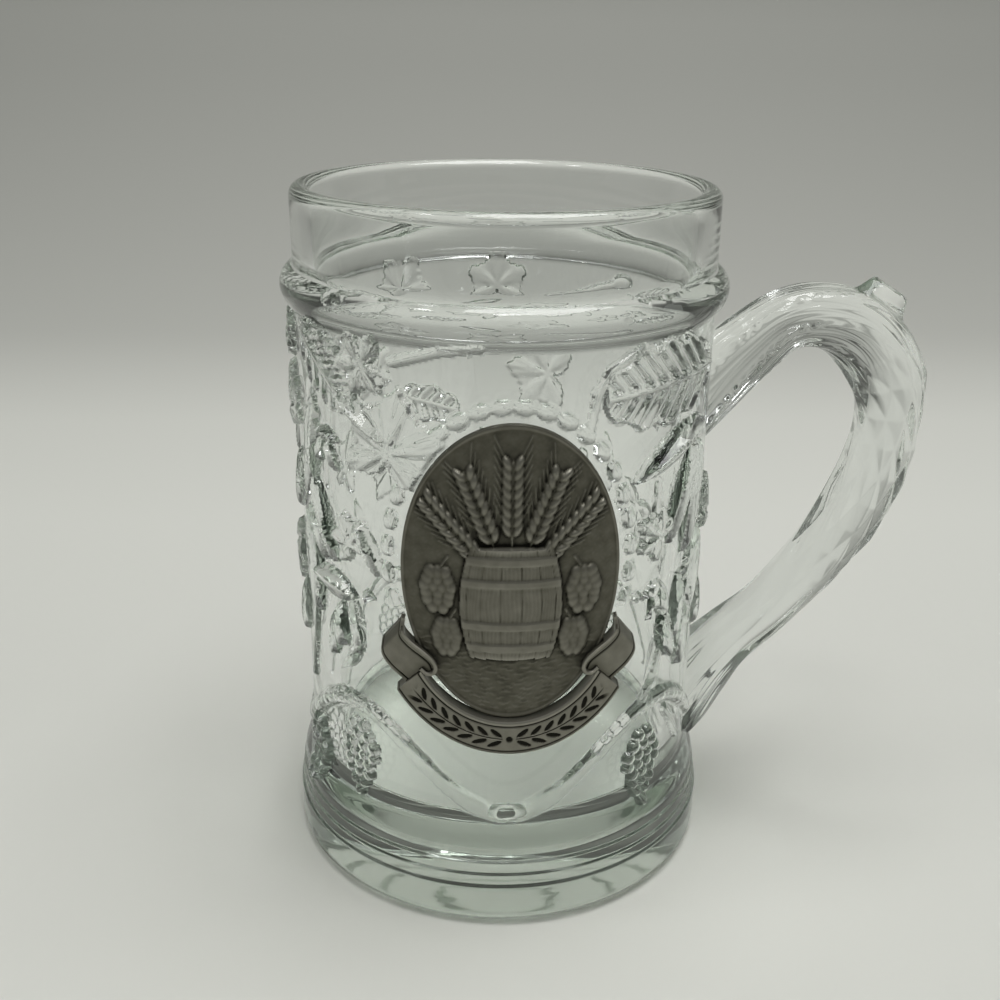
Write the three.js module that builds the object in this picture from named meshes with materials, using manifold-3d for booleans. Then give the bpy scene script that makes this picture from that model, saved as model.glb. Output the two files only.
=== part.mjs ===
// Pressed-glass beer mug with vine relief, a branch-like handle and a glued pewter medallion.
// Millimetres, +Z up. The origin is the centre of the underside, the medallion faces -Y and the
// handle stands out along +X. Angles round the mug start at -Y and grow towards +X.
import * as THREE from "three";
import { mergeVertices } from "three/addons/utils/BufferGeometryUtils.js";
import Module from "manifold-3d";

const wasm = await Module();
wasm.setup();

// Gap kept between neighbouring pieces, and the depth that joined shapes reach into each other
const SEAT_GAP = 0.3;
const JOIN_DEPTH = 1;

// Tumbler, from the underside up
const FOOT_RADIUS = 45.2;
const FOOT_HEIGHT = 9.3;
const FOOT_EDGE = 2.4;
const GROOVE_RADIUS = 43.8;
const RING_COUNT = 2;
const RING_HEIGHT = 2.6;
const RING_BULGE = 0.55;
const COVE_RADIUS = 44;
const COVE_HEIGHT = 8.5;
const WALL_RADIUS = 41.6;
const PANEL_HEIGHT = 94.3;
const COLLAR_HEIGHT = 7.7;
const COLLAR_BULGE = 2.4;
const BAND_RADIUS = 41.4;
const BAND_HEIGHT = 15;
const RIM_WALL = 4;
const FLOOR_WALL = 5.6;
const FLOOR_THICKNESS = 21.5;
const FLOOR_CORNER = 5;
const TURN_FACETS = 48;

// Vine relief on the wall
const LEAF_SIZE = 10;
const LEAF_EDGE = 0.8;
const LEAF_CROWN = 1.9;
const LEAF_FACETS = 18;
const BLADE_CROWN = 1.9;
const BLADE_FACETS = 14;
const POD_EDGE = 0.4;
const POD_CROWN = 2.3;
const POD_FACETS = 6;
const STEM_RADIUS = 0.95;
const BRANCH_RADIUS = 1.9;
const BRANCH_STEPS = 40;
const BRANCH_LOW = 1.6;
const BRANCH_RISE = 18.4;
const SWAG_COUNT = 4;
const BRANCH_GAP_ANGLE = 16;
const GRAPE_RADIUS = 1.75;
const GRAPE_PITCH = 3.4;
const GRAPE_ROW_PITCH = 3.1;
const GRAPE_LIFT = 0.3;
const BEAD_COUNT = 36;
const BEAD_LENGTH = 4.3;
const BEAD_WIDTH = 2.9;
const BEAD_HEIGHT = 1.25;
const BEAD_MARGIN = 2.5;

// Handle
const HANDLE_REACH = 38.9;
const HANDLE_ROOT_SPAN = 70;
const LOW_ROOT_HEIGHT = 30.5;
const HANDLE_DEPTH = 14;
const HANDLE_WIDTH = 14;
const ROOT_WIDTH = 19;
const RIDGE_COUNT = 9;
const RIDGE_HEIGHT = 0.5;
const RIDGE_TWIST_TURNS = 0.45;
const HANDLE_STEPS = 30;
const KNOB_RADIUS = 4.8;
const KNOB_SINK = 1;

// Medallion
const PAD_THICKNESS = 0.4;
const PAD_INSET = 1.5;
const PLAQUE_HALF_WIDTH = 19.9;
const PLAQUE_HALF_HEIGHT = 28.7;
const PLAQUE_CENTRE = 76.5;
const PLAQUE_THICKNESS = 1.2;
const PLAQUE_RIM_WIDTH = 0.6;
const PLAQUE_RIM_HEIGHT = 0.2;
const BARREL_LENGTH = 22;
const BARREL_WIDTH = 14.8;
const BARREL_BULGE = 1.9;
const BARREL_DROP = 5;
const BARREL_HEIGHT = 1.3;
const EAR_LENGTH = 15;
const EAR_WIDTH = 4.2;
const HOP_LENGTH = 8.5;
const HOP_WIDTH = 6;
const SPRIG_HEIGHT = 0.8;
const RIBBON_RADIUS = 25.5;
const RIBBON_WIDTH = 6.9;
const RIBBON_HALF_ANGLE = 58;
const RIBBON_DROP = 7.2;
const RIBBON_THICKNESS = 1.3;
const TAIL_THICKNESS = 1;

// Heights and radii that follow from those
const COVE_BASE = FOOT_HEIGHT + RING_COUNT * RING_HEIGHT;
const PANEL_BASE = COVE_BASE + COVE_HEIGHT;
const COLLAR_BASE = PANEL_BASE + PANEL_HEIGHT;
const BAND_BASE = COLLAR_BASE + COLLAR_HEIGHT;
const HEIGHT = BAND_BASE + BAND_HEIGHT;
const PAD_BACK = WALL_RADIUS + SEAT_GAP;
const PAD_FRONT = PAD_BACK + PAD_THICKNESS;
const PLAQUE_BACK = PAD_FRONT + SEAT_GAP;
const PLAQUE_FIELD = PLAQUE_BACK + PLAQUE_THICKNESS;
const PLAQUE_FRONT = PLAQUE_FIELD + PLAQUE_RIM_HEIGHT;
const TAIL_FRONT = PLAQUE_FRONT + SEAT_GAP + TAIL_THICKNESS;
const RIBBON_FRONT = PLAQUE_FRONT + SEAT_GAP + RIBBON_THICKNESS;
const RIBBON_CENTRE = PLAQUE_CENTRE - PLAQUE_HALF_HEIGHT - RIBBON_DROP + RIBBON_RADIUS;

const radians = THREE.MathUtils.degToRad;
const smooth = (x) => THREE.MathUtils.smoothstep(x, 0, 1);

// A closed geometry as a solid that can be joined and cut
function solidOf(geometry) {
  const bare = geometry.clone();
  bare.deleteAttribute("normal");
  bare.deleteAttribute("uv");
  const merged = mergeVertices(bare);
  const mesh = new wasm.Mesh({
    numProp: 3,
    vertProperties: merged.attributes.position.array,
    triVerts: new Uint32Array(merged.index.array),
  });
  return new wasm.Manifold(mesh);
}

function geometryOf(solid) {
  const mesh = solid.getMesh();
  const geometry = new THREE.BufferGeometry();
  geometry.setAttribute("position", new THREE.BufferAttribute(mesh.vertProperties, 3));
  geometry.setIndex(new THREE.BufferAttribute(mesh.triVerts, 1));
  geometry.computeVertexNormals();
  return geometry;
}

const join = (solids) => solids.reduce((whole, next) => whole.add(next));

// Moves each vertex of a geometry by a rule that changes the point in place
function reshape(geometry, rule) {
  const position = geometry.attributes.position;
  const point = new THREE.Vector3();
  for (let i = 0; i < position.count; i++) {
    point.fromBufferAttribute(position, i);
    rule(point);
    position.setXYZ(i, point.x, point.y, point.z);
  }
  return geometry;
}

// A profile of [radius, height] points turned about the mug's axis
function turned(profile) {
  const points = profile.map(([radius, height]) => new THREE.Vector2(radius, height));
  return new THREE.LatheGeometry(points, TURN_FACETS).rotateX(Math.PI / 2);
}

// Points of a quarter or half round in the profile, from one angle to another in degrees
function arc(centreRadius, centreHeight, acrossRadius, upRadius, from, to, steps) {
  const points = [];
  for (let i = 0; i <= steps; i++) {
    const angle = radians(from + ((to - from) * i) / steps);
    points.push([
      centreRadius + acrossRadius * Math.cos(angle),
      centreHeight + upRadius * Math.sin(angle),
    ]);
  }
  return points;
}

// Outside of the tumbler from the axis up to the band, grown outwards by a margin
function outerProfile(margin) {
  const points = [[0, -margin]];
  const edge = FOOT_EDGE + margin;
  points.push(...arc(FOOT_RADIUS - FOOT_EDGE, FOOT_EDGE, edge, edge, -90, 0, 2));
  points.push([FOOT_RADIUS + margin, FOOT_HEIGHT - FOOT_EDGE]);
  points.push([GROOVE_RADIUS + margin, FOOT_HEIGHT]);
  for (let ring = 0; ring < RING_COUNT; ring++) {
    const middle = FOOT_HEIGHT + (ring + 0.5) * RING_HEIGHT;
    const swell = RING_BULGE + margin;
    points.push([GROOVE_RADIUS + swell, middle - RING_HEIGHT / 4]);
    points.push([GROOVE_RADIUS + swell, middle + RING_HEIGHT / 4]);
    points.push([GROOVE_RADIUS + margin, middle + RING_HEIGHT / 2]);
  }
  const coveDepth = COVE_RADIUS - WALL_RADIUS;
  points.push([COVE_RADIUS + margin, COVE_BASE + COVE_HEIGHT / 3]);
  points.push([WALL_RADIUS + coveDepth / 3 + margin, COVE_BASE + (COVE_HEIGHT * 2) / 3]);
  points.push([WALL_RADIUS + margin, PANEL_BASE]);
  const halfCollar = COLLAR_HEIGHT / 2;
  const collar = arc(WALL_RADIUS + margin, COLLAR_BASE + halfCollar, COLLAR_BULGE, halfCollar, -90, 90, 4);
  points.push(...collar.slice(0, -1));
  points.push([BAND_RADIUS + margin, BAND_BASE]);
  return points;
}

// Inside of the tumbler from the rim down to the axis
function innerProfile() {
  const rimRadius = BAND_RADIUS - RIM_WALL / 2;
  const points = arc(rimRadius, HEIGHT - RIM_WALL / 2, RIM_WALL / 2, RIM_WALL / 2, 0, 180, 4);
  const floorRadius = WALL_RADIUS - FLOOR_WALL - FLOOR_CORNER;
  const corner = arc(floorRadius, FLOOR_THICKNESS + FLOOR_CORNER, FLOOR_CORNER, FLOOR_CORNER, 0, -90, 2);
  points.push(...corner);
  points.push([0, FLOOR_THICKNESS]);
  return points;
}

// The mug's outside as a full solid, grown by a margin, for cutting what sits against it
function tumblerEnvelope(margin) {
  return solidOf(turned([...outerProfile(margin), [BAND_RADIUS + margin, HEIGHT], [0, HEIGHT]]));
}

// Relief is drawn flat, with x along the wall, y up and z out of the wall, and then bent round it
function wrapped(geometry) {
  return reshape(geometry, (point) => {
    const angle = point.x / WALL_RADIUS;
    const radius = WALL_RADIUS + point.z;
    point.set(radius * Math.sin(angle), -radius * Math.cos(angle), point.y);
  });
}

const along = (angle) => radians(angle) * WALL_RADIUS;
const upPanel = (share) => PANEL_BASE + share * PANEL_HEIGHT;

// Shares of a leaf's reach between its lobes and at its stem notch, and the notch's half angle
const LEAF_WAIST = 0.6;
const LEAF_NOTCH = 0.72;
const LEAF_NOTCH_ANGLE = radians(23);

// Reach of a five-lobed vine leaf at an angle from its tip, with a notch at the stem
function leafReach(angle) {
  const fromTip = Math.abs(Math.atan2(Math.sin(angle), Math.cos(angle)));
  const lobes = LEAF_WAIST + (1 - LEAF_WAIST) * Math.abs(Math.cos(3 * fromTip));
  const notch = 1 - LEAF_NOTCH * Math.exp(-(((Math.PI - fromTip) / LEAF_NOTCH_ANGLE) ** 2));
  return lobes * notch;
}

// Reach of an oval leaf at an angle from its tip, for its width as a share of its length
const ovalReach = (angle, slimness) => 1 / Math.hypot(Math.cos(angle), Math.sin(angle) / slimness);

// A raised leaf: angle round the mug, share of the panel's height, size, turn of its tip from upright
// and, for an oval one, its slimness
function raised(reach, facets, edge, crown) {
  return ([angle, share, size, turn, slimness]) => {
    const profile = [
      [0, -JOIN_DEPTH],
      [1, -JOIN_DEPTH],
      [1, edge],
      [0, crown],
    ];
    const points = profile.map(([radius, height]) => new THREE.Vector2(radius, height));
    const flat = new THREE.LatheGeometry(points, facets).rotateX(Math.PI / 2);
    reshape(flat, (point) => {
      const fromTip = Math.atan2(point.x, point.y);
      const radius = Math.hypot(point.x, point.y) * reach(fromTip, slimness) * size * LEAF_SIZE;
      const heading = fromTip + radians(turn);
      point.x = along(angle) + radius * Math.sin(heading);
      point.y = upPanel(share) + radius * Math.cos(heading);
    });
    return solidOf(wrapped(flat));
  };
}

// Five-lobed leaves
const LEAVES = [
  [-31, 0.79, 1.15, 10],
  [-38, 0.955, 0.65, -95],
  [-44, 0.58, 0.68, -25],
  [42, 0.6, 0.68, -55],
  [38, 0.46, 0.6, 170],
  [-80, 0.795, 0.95, -20],
  [-86, 0.465, 0.95, 160],
  [-104, 0.88, 0.85, 30],
  [-110, 0.56, 0.95, -30],
  [-130, 0.755, 0.9, 10],
  [80, 0.55, 0.85, 20],
  [99, 0.415, 0.85, 200],
  [114, 0.72, 0.9, -20],
  [119, 0.435, 0.95, 160],
  [180, 0.935, 0.8, 0],
  [162, 0.715, 0.8, 80],
  [215, 0.935, 0.85, 30],
  [150, 0.455, 0.95, 40],
  [197, 0.415, 0.95, -40],
  [174, 0.33, 0.8, 170],
  [222, 0.5, 0.9, 140],
  [134, 0.69, 0.8, -30],
];

// Long veined leaves
const BLADES = [
  [42, 0.915, 1.45, -94, 0.53],
  [-53, 0.93, 1, 130, 0.57],
  [-88, 0.945, 0.9, 100, 0.47],
  [112, 0.9, 0.9, -75, 0.5],
  [235, 0.815, 1, 40, 0.5],
  [205, 0.645, 0.9, 250, 0.47],
];

// Slender pointed leaves
const PODS = [
  [-40, 0.85, 0.72, 124, 0.3],
  [-38, 0.58, 0.58, 151, 0.33],
  [-48.5, 0.385, 0.5, 175, 0.36],
  [-52.5, 0.355, 0.55, 5, 0.35],
  [-43, 0.4, 0.6, 170, 0.28],
  [-45.3, 0.32, 0.45, 35, 0.36],
  [-53, 0.465, 0.75, 95, 0.43],
  [-58, 0.625, 0.65, 10, 0.38],
  [-57, 0.555, 0.45, 150, 0.44],
  [-62, 0.73, 0.75, 10, 0.33],
  [-65, 0.475, 0.75, -10, 0.33],
  [-53, 0.79, 0.35, 100, 0.4],
  [45.5, 0.77, 1.1, 66, 0.29],
  [51.5, 0.685, 0.75, 36, 0.28],
  [44.5, 0.45, 0.4, 175, 0.4],
  [47, 0.365, 0.6, 170, 0.37],
  [52.3, 0.41, 0.75, 5, 0.23],
  [58, 0.38, 0.8, 15, 0.4],
  [58, 0.615, 0.8, 8, 0.31],
  [62, 0.51, 0.65, 30, 0.38],
  [70, 0.37, 0.7, 170, 0.32],
  [-74, 0.645, 0.75, 15, 0.31],
  [-76, 0.34, 0.7, 190, 0.32],
  [-98, 0.71, 0.75, -35, 0.31],
  [-120, 0.39, 0.75, 20, 0.31],
  [126, 0.825, 0.7, 20, 0.31],
  [136, 0.52, 0.75, 190, 0.31],
  [186, 0.815, 0.65, 120, 0.34],
  [184, 0.5, 0.7, 10, 0.32],
  [242, 0.625, 0.75, -20, 0.31],
];

// Thin stems as runs of [angle, share of the panel's height]
const STEMS = [
  [[-30, 0.965], [-25, 0.98], [-18, 0.995], [-8, 1.005]],
  [[19, 0.855], [20.5, 0.91], [24, 0.955], [33, 0.99]],
  [[41, 0.64], [41.5, 0.71]],
  [[51, 0.165], [56, 0.115], [61, 0.06]],
  [[40, 0.22], [44, 0.265], [46, 0.32]],
  [[-70, 0.19], [-66, 0.31], [-63, 0.415]],
  [[136, 0.965], [143, 0.95], [152, 0.92], [162, 0.895]],
  [[-66, 0.645], [-64, 0.755], [-60, 0.85]],
];

// Bunches of grapes: angle round the mug, share of the panel's height at the top row
const BUNCHES = [
  [-44, 0.16],
  [41, 0.14],
  [-66, 0.085],
  [135, 0.15],
  [225, 0.15],
];
const GRAPE_ROWS = [3, 4, 3, 2, 1];

function stem(run) {
  const points = run.map(([angle, share]) => new THREE.Vector3(along(angle), upPanel(share), 0));
  return rod(new THREE.CatmullRomCurve3(points), STEM_RADIUS, run.length + 1);
}

// A six-sided rod along a curve on the flat relief, then bent round the wall
function rod(curve, radius, steps) {
  const section = new THREE.Shape().absarc(0, 0, radius, 0, 2 * Math.PI);
  const shape = { steps, curveSegments: 3, extrudePath: curve };
  return solidOf(wrapped(new THREE.ExtrudeGeometry(section, shape)));
}

// The branch runs round the wall in even swags, and stops short of the handle's root on each side
class BranchCurve extends THREE.Curve {
  getPoint(share, target = new THREE.Vector3()) {
    const start = 90 + BRANCH_GAP_ANGLE;
    const angle = start + share * (360 - 2 * BRANCH_GAP_ANGLE);
    const rise = (BRANCH_RISE * (1 - Math.cos(SWAG_COUNT * radians(angle)))) / 2;
    return target.set(along(angle), PANEL_BASE + BRANCH_LOW + rise, 0);
  }
}

function grape(across, up) {
  const ball = new THREE.IcosahedronGeometry(GRAPE_RADIUS);
  return solidOf(wrapped(ball.translate(across, up, GRAPE_LIFT)));
}

function bunch([angle, share]) {
  const grapes = [];
  GRAPE_ROWS.forEach((count, row) => {
    for (let i = 0; i < count; i++) {
      const across = along(angle) + (i - (count - 1) / 2) * GRAPE_PITCH;
      grapes.push(grape(across, upPanel(share) - row * GRAPE_ROW_PITCH));
    }
  });
  return join(grapes);
}

// Beads on an oval round the medallion, left out where the ribbon covers them
function beadFrame() {
  const halfWidth = PLAQUE_HALF_WIDTH + BEAD_MARGIN;
  const halfHeight = PLAQUE_HALF_HEIGHT + BEAD_MARGIN;
  const lowest = RIBBON_CENTRE + BEAD_LENGTH / 2;
  const beads = [];
  for (let i = 0; i < BEAD_COUNT; i++) {
    const angle = ((i + 0.5) * 2 * Math.PI) / BEAD_COUNT;
    const up = PLAQUE_CENTRE + halfHeight * Math.cos(angle);
    if (up < lowest) continue;
    const across = WALL_RADIUS * Math.asin((halfWidth * Math.sin(angle)) / WALL_RADIUS);
    const heading = Math.atan2(-halfHeight * Math.sin(angle), halfWidth * Math.cos(angle));
    const bead = new THREE.SphereGeometry(1, 6, 3).rotateX(Math.PI / 2);
    bead.scale(BEAD_LENGTH / 2, BEAD_WIDTH / 2, BEAD_HEIGHT).rotateZ(heading);
    beads.push(solidOf(wrapped(bead.translate(across, up, 0))));
  }
  return join(beads);
}

// Centre line of the handle: shares of its reach out from the wall, of its span between the roots and
// of its depth
const HANDLE_SHARES = [
  [-0.18, 0.9, 1.29],
  [0, 1, 1.18],
  [0.2, 1.1, 1.01],
  [0.39, 1.178, 0.9],
  [0.6, 1.19, 0.96],
  [0.81, 1.142, 1.09],
  [0.965, 1.02, 1.1],
  [1.005, 0.88, 0.97],
  [0.975, 0.74, 1.01],
  [0.88, 0.6, 1.01],
  [0.71, 0.44, 0.92],
  [0.475, 0.265, 0.83],
  [0.25, 0.15, 0.91],
  [0.1, 0.055, 1.11],
  [-0.06, -0.07, 1.25],
  [-0.2, -0.19, 1],
];
const ROOT_SHARE = 0.2;
const KNOB_SHARE = 0.29;

function handleCurve() {
  const points = HANDLE_SHARES.map(([out, up]) => {
    const height = LOW_ROOT_HEIGHT + up * HANDLE_ROOT_SPAN;
    return new THREE.Vector3(WALL_RADIUS + out * HANDLE_REACH, 0, height);
  });
  return new THREE.CatmullRomCurve3(points, false, "catmullrom");
}

// Half the handle's depth at a share of its centre line's length
function halfDepthAt(curve, share) {
  const depths = new THREE.SplineCurve(HANDLE_SHARES.map(([, , depth], i) => new THREE.Vector2(i, depth)));
  return (HANDLE_DEPTH * depths.getPoint(curve.getUtoTmapping(share)).y) / 2;
}

// The handle from inside one wall root to the other, grown by a margin, with twisted ridges
function handleSolid(margin) {
  const curve = handleCurve();
  const sides = 2 * RIDGE_COUNT;
  const tube = new THREE.CylinderGeometry(1, 1, 1, sides, HANDLE_STEPS);
  reshape(tube, (point) => {
    const share = 0.5 - point.y;
    const centre = curve.getPointAt(share);
    const forward = curve.getTangentAt(share);
    const outwards = new THREE.Vector3(-forward.z, 0, forward.x);
    const root = smooth(1 - Math.min(share, 1 - share) / ROOT_SHARE);
    const halfDepth = halfDepthAt(curve, share) + margin;
    const halfWidth = (HANDLE_WIDTH + (ROOT_WIDTH - HANDLE_WIDTH) * root) / 2 + margin;
    const side = Math.atan2(point.x, point.z);
    const ridge = RIDGE_HEIGHT * Math.cos(RIDGE_COUNT * side);
    const turn = side + 2 * Math.PI * RIDGE_TWIST_TURNS * share;
    const size = Math.hypot(point.x, point.z);
    point.copy(centre);
    point.addScaledVector(outwards, size * (halfDepth + ridge) * Math.cos(turn));
    point.y += size * (halfWidth + ridge) * Math.sin(turn);
  });
  const knobCentre = curve.getPointAt(KNOB_SHARE);
  const knobForward = curve.getTangentAt(KNOB_SHARE);
  const knobReach = halfDepthAt(curve, KNOB_SHARE) - KNOB_SINK;
  const knob = new THREE.IcosahedronGeometry(KNOB_RADIUS + margin, 1);
  knob.translate(
    knobCentre.x - knobForward.z * knobReach,
    0,
    knobCentre.z + knobForward.x * knobReach,
  );
  return solidOf(tube).add(solidOf(knob));
}

// A shell round the wall between two radii, cut to an outline seen from the front
function badge(outline, inner, outer) {
  const heights = outline.getPoints().map((point) => point.y);
  const low = Math.min(...heights) - JOIN_DEPTH;
  const high = Math.max(...heights) + JOIN_DEPTH;
  const shell = turned([
    [inner, low],
    [outer, low],
    [outer, high],
    [inner, high],
    [inner, low],
  ]);
  const cutter = new THREE.ExtrudeGeometry(outline, {
    depth: 2 * outer,
    bevelEnabled: false,
    curveSegments: 14,
  });
  return solidOf(shell).intersect(solidOf(cutter.rotateX(Math.PI / 2)));
}

function oval(grow) {
  const shape = new THREE.Shape();
  const halfWidth = PLAQUE_HALF_WIDTH + grow;
  const halfHeight = PLAQUE_HALF_HEIGHT + grow;
  return shape.absellipse(0, PLAQUE_CENTRE, halfWidth, halfHeight, 0, 2 * Math.PI);
}

// Barrel standing a little below the plaque's middle
function barrelOutline() {
  const middle = PLAQUE_CENTRE - BARREL_DROP;
  const half = BARREL_WIDTH / 2;
  const bulge = half + 2 * BARREL_BULGE;
  const shape = new THREE.Shape();
  shape.moveTo(-half, middle - BARREL_LENGTH / 2);
  shape.lineTo(half, middle - BARREL_LENGTH / 2);
  shape.quadraticCurveTo(bulge, middle, half, middle + BARREL_LENGTH / 2);
  shape.lineTo(-half, middle + BARREL_LENGTH / 2);
  shape.quadraticCurveTo(-bulge, middle, -half, middle - BARREL_LENGTH / 2);
  return shape;
}

// Ears of barley fan out above the barrel, and hop cones hang beside it: an oval sprig is given by
// shares of the barrel's half width and half length from its middle, its size and its lean
const EARS = [
  [0, 1.86, 1, 0],
  [0.83, 1.7, 1, 21],
  [-0.83, 1.7, 1, -21],
  [1.52, 1.32, 1, 42],
  [-1.52, 1.32, 1, -42],
];
const HOPS = [
  [1.78, 0.18, 1, 0],
  [-1.78, 0.18, 1, 0],
  [1.57, -0.67, 0.78, 0],
  [-1.57, -0.67, 0.78, 0],
];

function sprigOutline(length, width) {
  return ([across, up, size, lean]) => {
    const x = (across * BARREL_WIDTH) / 2;
    const y = PLAQUE_CENTRE - BARREL_DROP + (up * BARREL_LENGTH) / 2;
    const shape = new THREE.Shape();
    const turn = -radians(lean);
    return shape.absellipse(x, y, (size * width) / 2, (size * length) / 2, 0, 2 * Math.PI, false, turn);
  };
}

// The ribbon's front band: a stretch of a ring that follows the plaque's lower edge
function bandOutline(grow) {
  const turn = radians(RIBBON_HALF_ANGLE) + grow / RIBBON_RADIUS;
  const inner = RIBBON_RADIUS - RIBBON_WIDTH - grow;
  const shape = new THREE.Shape();
  shape.absarc(0, RIBBON_CENTRE, RIBBON_RADIUS + grow, -Math.PI / 2 - turn, -Math.PI / 2 + turn);
  shape.absarc(0, RIBBON_CENTRE, inner, -Math.PI / 2 + turn, -Math.PI / 2 - turn, true);
  return shape;
}

// A tail's outline on the right, in shares of the ribbon's width across and up from the band's inner
// corner: its upper edge from its top round the fold, and its lower edge out from behind the band
const TAIL_TOP_SHARES = [
  [0.55, 1.5],
  [0.58, 1.16],
  [0.39, 0.91],
  [0.01, 0.65],
  [-0.23, 0.43],
  [-0.3, 0.23],
  [-0.23, 0.07],
  [-0.06, 0.03],
];
const TAIL_LOW_SHARES = [
  [0.41, -0.43],
  [0.65, -0.23],
  [0.96, 0.03],
  [1.13, 0.26],
  [1.17, 0.46],
  [1.14, 0.67],
];
const TAIL_MIDDLE = [0.45, 0.5];

// A tail that comes from behind the band's end and folds outwards and up
function tailOutline(side, grow) {
  const turn = radians(RIBBON_HALF_ANGLE);
  const inner = RIBBON_RADIUS - RIBBON_WIDTH;
  const swell = RIBBON_WIDTH + 2 * grow;
  const place = ([across, up]) => {
    const x = inner * Math.sin(turn) + TAIL_MIDDLE[0] * RIBBON_WIDTH + (across - TAIL_MIDDLE[0]) * swell;
    const y = TAIL_MIDDLE[1] * RIBBON_WIDTH + (up - TAIL_MIDDLE[1]) * swell;
    return new THREE.Vector2(side * x, RIBBON_CENTRE - inner * Math.cos(turn) + y);
  };
  const top = TAIL_TOP_SHARES.map(place);
  const low = TAIL_LOW_SHARES.map(place);
  const shape = new THREE.Shape();
  shape.moveTo(top[0].x, top[0].y);
  shape.splineThru(top.slice(1));
  shape.lineTo(low[0].x, low[0].y);
  shape.splineThru(low.slice(1));
  return shape;
}

// Room that the relief leaves free round the medallion
function medallionRoom() {
  const tails = [1, -1].map((side) => tailOutline(side, SEAT_GAP));
  const outlines = [oval(SEAT_GAP), bandOutline(SEAT_GAP), ...tails];
  return join(outlines.map((outline) => badge(outline, WALL_RADIUS, RIBBON_FRONT + SEAT_GAP)));
}

function makeGlassBody() {
  const leaves = LEAVES.map(raised(leafReach, LEAF_FACETS, LEAF_EDGE, LEAF_CROWN));
  const blades = BLADES.map(raised(ovalReach, BLADE_FACETS, LEAF_EDGE, BLADE_CROWN));
  const pods = PODS.map(raised(ovalReach, POD_FACETS, POD_EDGE, POD_CROWN));
  const branch = rod(new BranchCurve(), BRANCH_RADIUS, BRANCH_STEPS);
  const stems = STEMS.map(stem);
  const bunches = BUNCHES.map(bunch);
  const relief = join([...leaves, ...blades, ...pods, ...stems, ...bunches, branch, beadFrame()]);
  const free = relief.subtract(medallionRoom()).subtract(handleSolid(SEAT_GAP));
  return solidOf(turned([...outerProfile(0), ...innerProfile()])).add(free);
}

function makeHandle() {
  return handleSolid(0).subtract(tumblerEnvelope(SEAT_GAP));
}

function makePlaque() {
  const field = badge(oval(0), PLAQUE_BACK, PLAQUE_FIELD);
  const rim = badge(oval(0), PLAQUE_BACK, PLAQUE_FRONT);
  const hollow = badge(oval(-PLAQUE_RIM_WIDTH), PLAQUE_BACK - JOIN_DEPTH, PLAQUE_FRONT + JOIN_DEPTH);
  const barrel = badge(barrelOutline(), PLAQUE_BACK, PLAQUE_FIELD + BARREL_HEIGHT);
  const ears = EARS.map(sprigOutline(EAR_LENGTH, EAR_WIDTH));
  const hops = HOPS.map(sprigOutline(HOP_LENGTH, HOP_WIDTH));
  const sprigTop = PLAQUE_FIELD + SPRIG_HEIGHT;
  const sprigs = [...ears, ...hops].map((outline) => badge(outline, PLAQUE_BACK, sprigTop));
  return join([field, rim.subtract(hollow), barrel, ...sprigs]);
}

function makeRibbon() {
  const band = badge(bandOutline(0), PLAQUE_BACK, RIBBON_FRONT);
  const tails = [1, -1].map((side) => badge(tailOutline(side, 0), PLAQUE_BACK, TAIL_FRONT));
  const plaqueRoom = badge(oval(SEAT_GAP), PLAQUE_BACK - JOIN_DEPTH, PLAQUE_FRONT + SEAT_GAP);
  return join([band, ...tails]).subtract(plaqueRoom);
}

function makePad() {
  return badge(oval(-PAD_INSET), PAD_BACK, PAD_FRONT);
}

const glass = { color: 0xdfeae4, roughness: 0.04, metalness: 0, transparent: true, opacity: 0.35 };
const pewter = { color: 0x63615b, roughness: 0.42, metalness: 1 };
const adhesive = { color: 0xd9d7cd, roughness: 0.6, metalness: 0 };

const mug = new THREE.Group();

function addPiece(name, solid, look) {
  const piece = new THREE.Mesh(geometryOf(solid), new THREE.MeshStandardMaterial(look));
  piece.name = name;
  mug.add(piece);
}

addPiece("glass_body", makeGlassBody(), glass);
addPiece("handle", makeHandle(), glass);
addPiece("medallion_plaque", makePlaque(), pewter);
addPiece("medallion_ribbon", makeRibbon(), pewter);
addPiece("adhesive_pad", makePad(), adhesive);

export default mug;
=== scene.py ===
"""Looks of the pressed-glass beer mug: fused glass with vine relief, and a cast pewter medallion."""
import math

import bpy
import numpy as np
from mathutils import Matrix, Vector


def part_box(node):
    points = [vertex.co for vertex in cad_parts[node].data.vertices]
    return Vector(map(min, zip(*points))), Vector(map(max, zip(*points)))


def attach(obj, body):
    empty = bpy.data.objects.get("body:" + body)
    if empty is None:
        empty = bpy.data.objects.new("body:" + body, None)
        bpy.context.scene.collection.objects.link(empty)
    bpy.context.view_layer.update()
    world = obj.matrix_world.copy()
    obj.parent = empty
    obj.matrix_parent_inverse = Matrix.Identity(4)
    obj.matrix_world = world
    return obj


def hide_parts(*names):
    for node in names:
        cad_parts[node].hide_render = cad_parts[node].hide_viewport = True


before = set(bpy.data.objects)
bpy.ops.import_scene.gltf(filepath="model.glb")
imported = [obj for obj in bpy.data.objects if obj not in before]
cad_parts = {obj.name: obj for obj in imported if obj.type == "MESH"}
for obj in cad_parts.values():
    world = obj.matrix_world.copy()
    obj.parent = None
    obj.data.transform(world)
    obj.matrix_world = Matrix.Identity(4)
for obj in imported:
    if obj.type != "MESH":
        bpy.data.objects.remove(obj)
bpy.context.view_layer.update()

# Sizes are in millimetres, with +Z up, the medallion towards -Y and the handle towards +X.
MM = 0.001
_, body_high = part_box("glass_body")
plaque_low, plaque_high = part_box("medallion_plaque")

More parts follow.
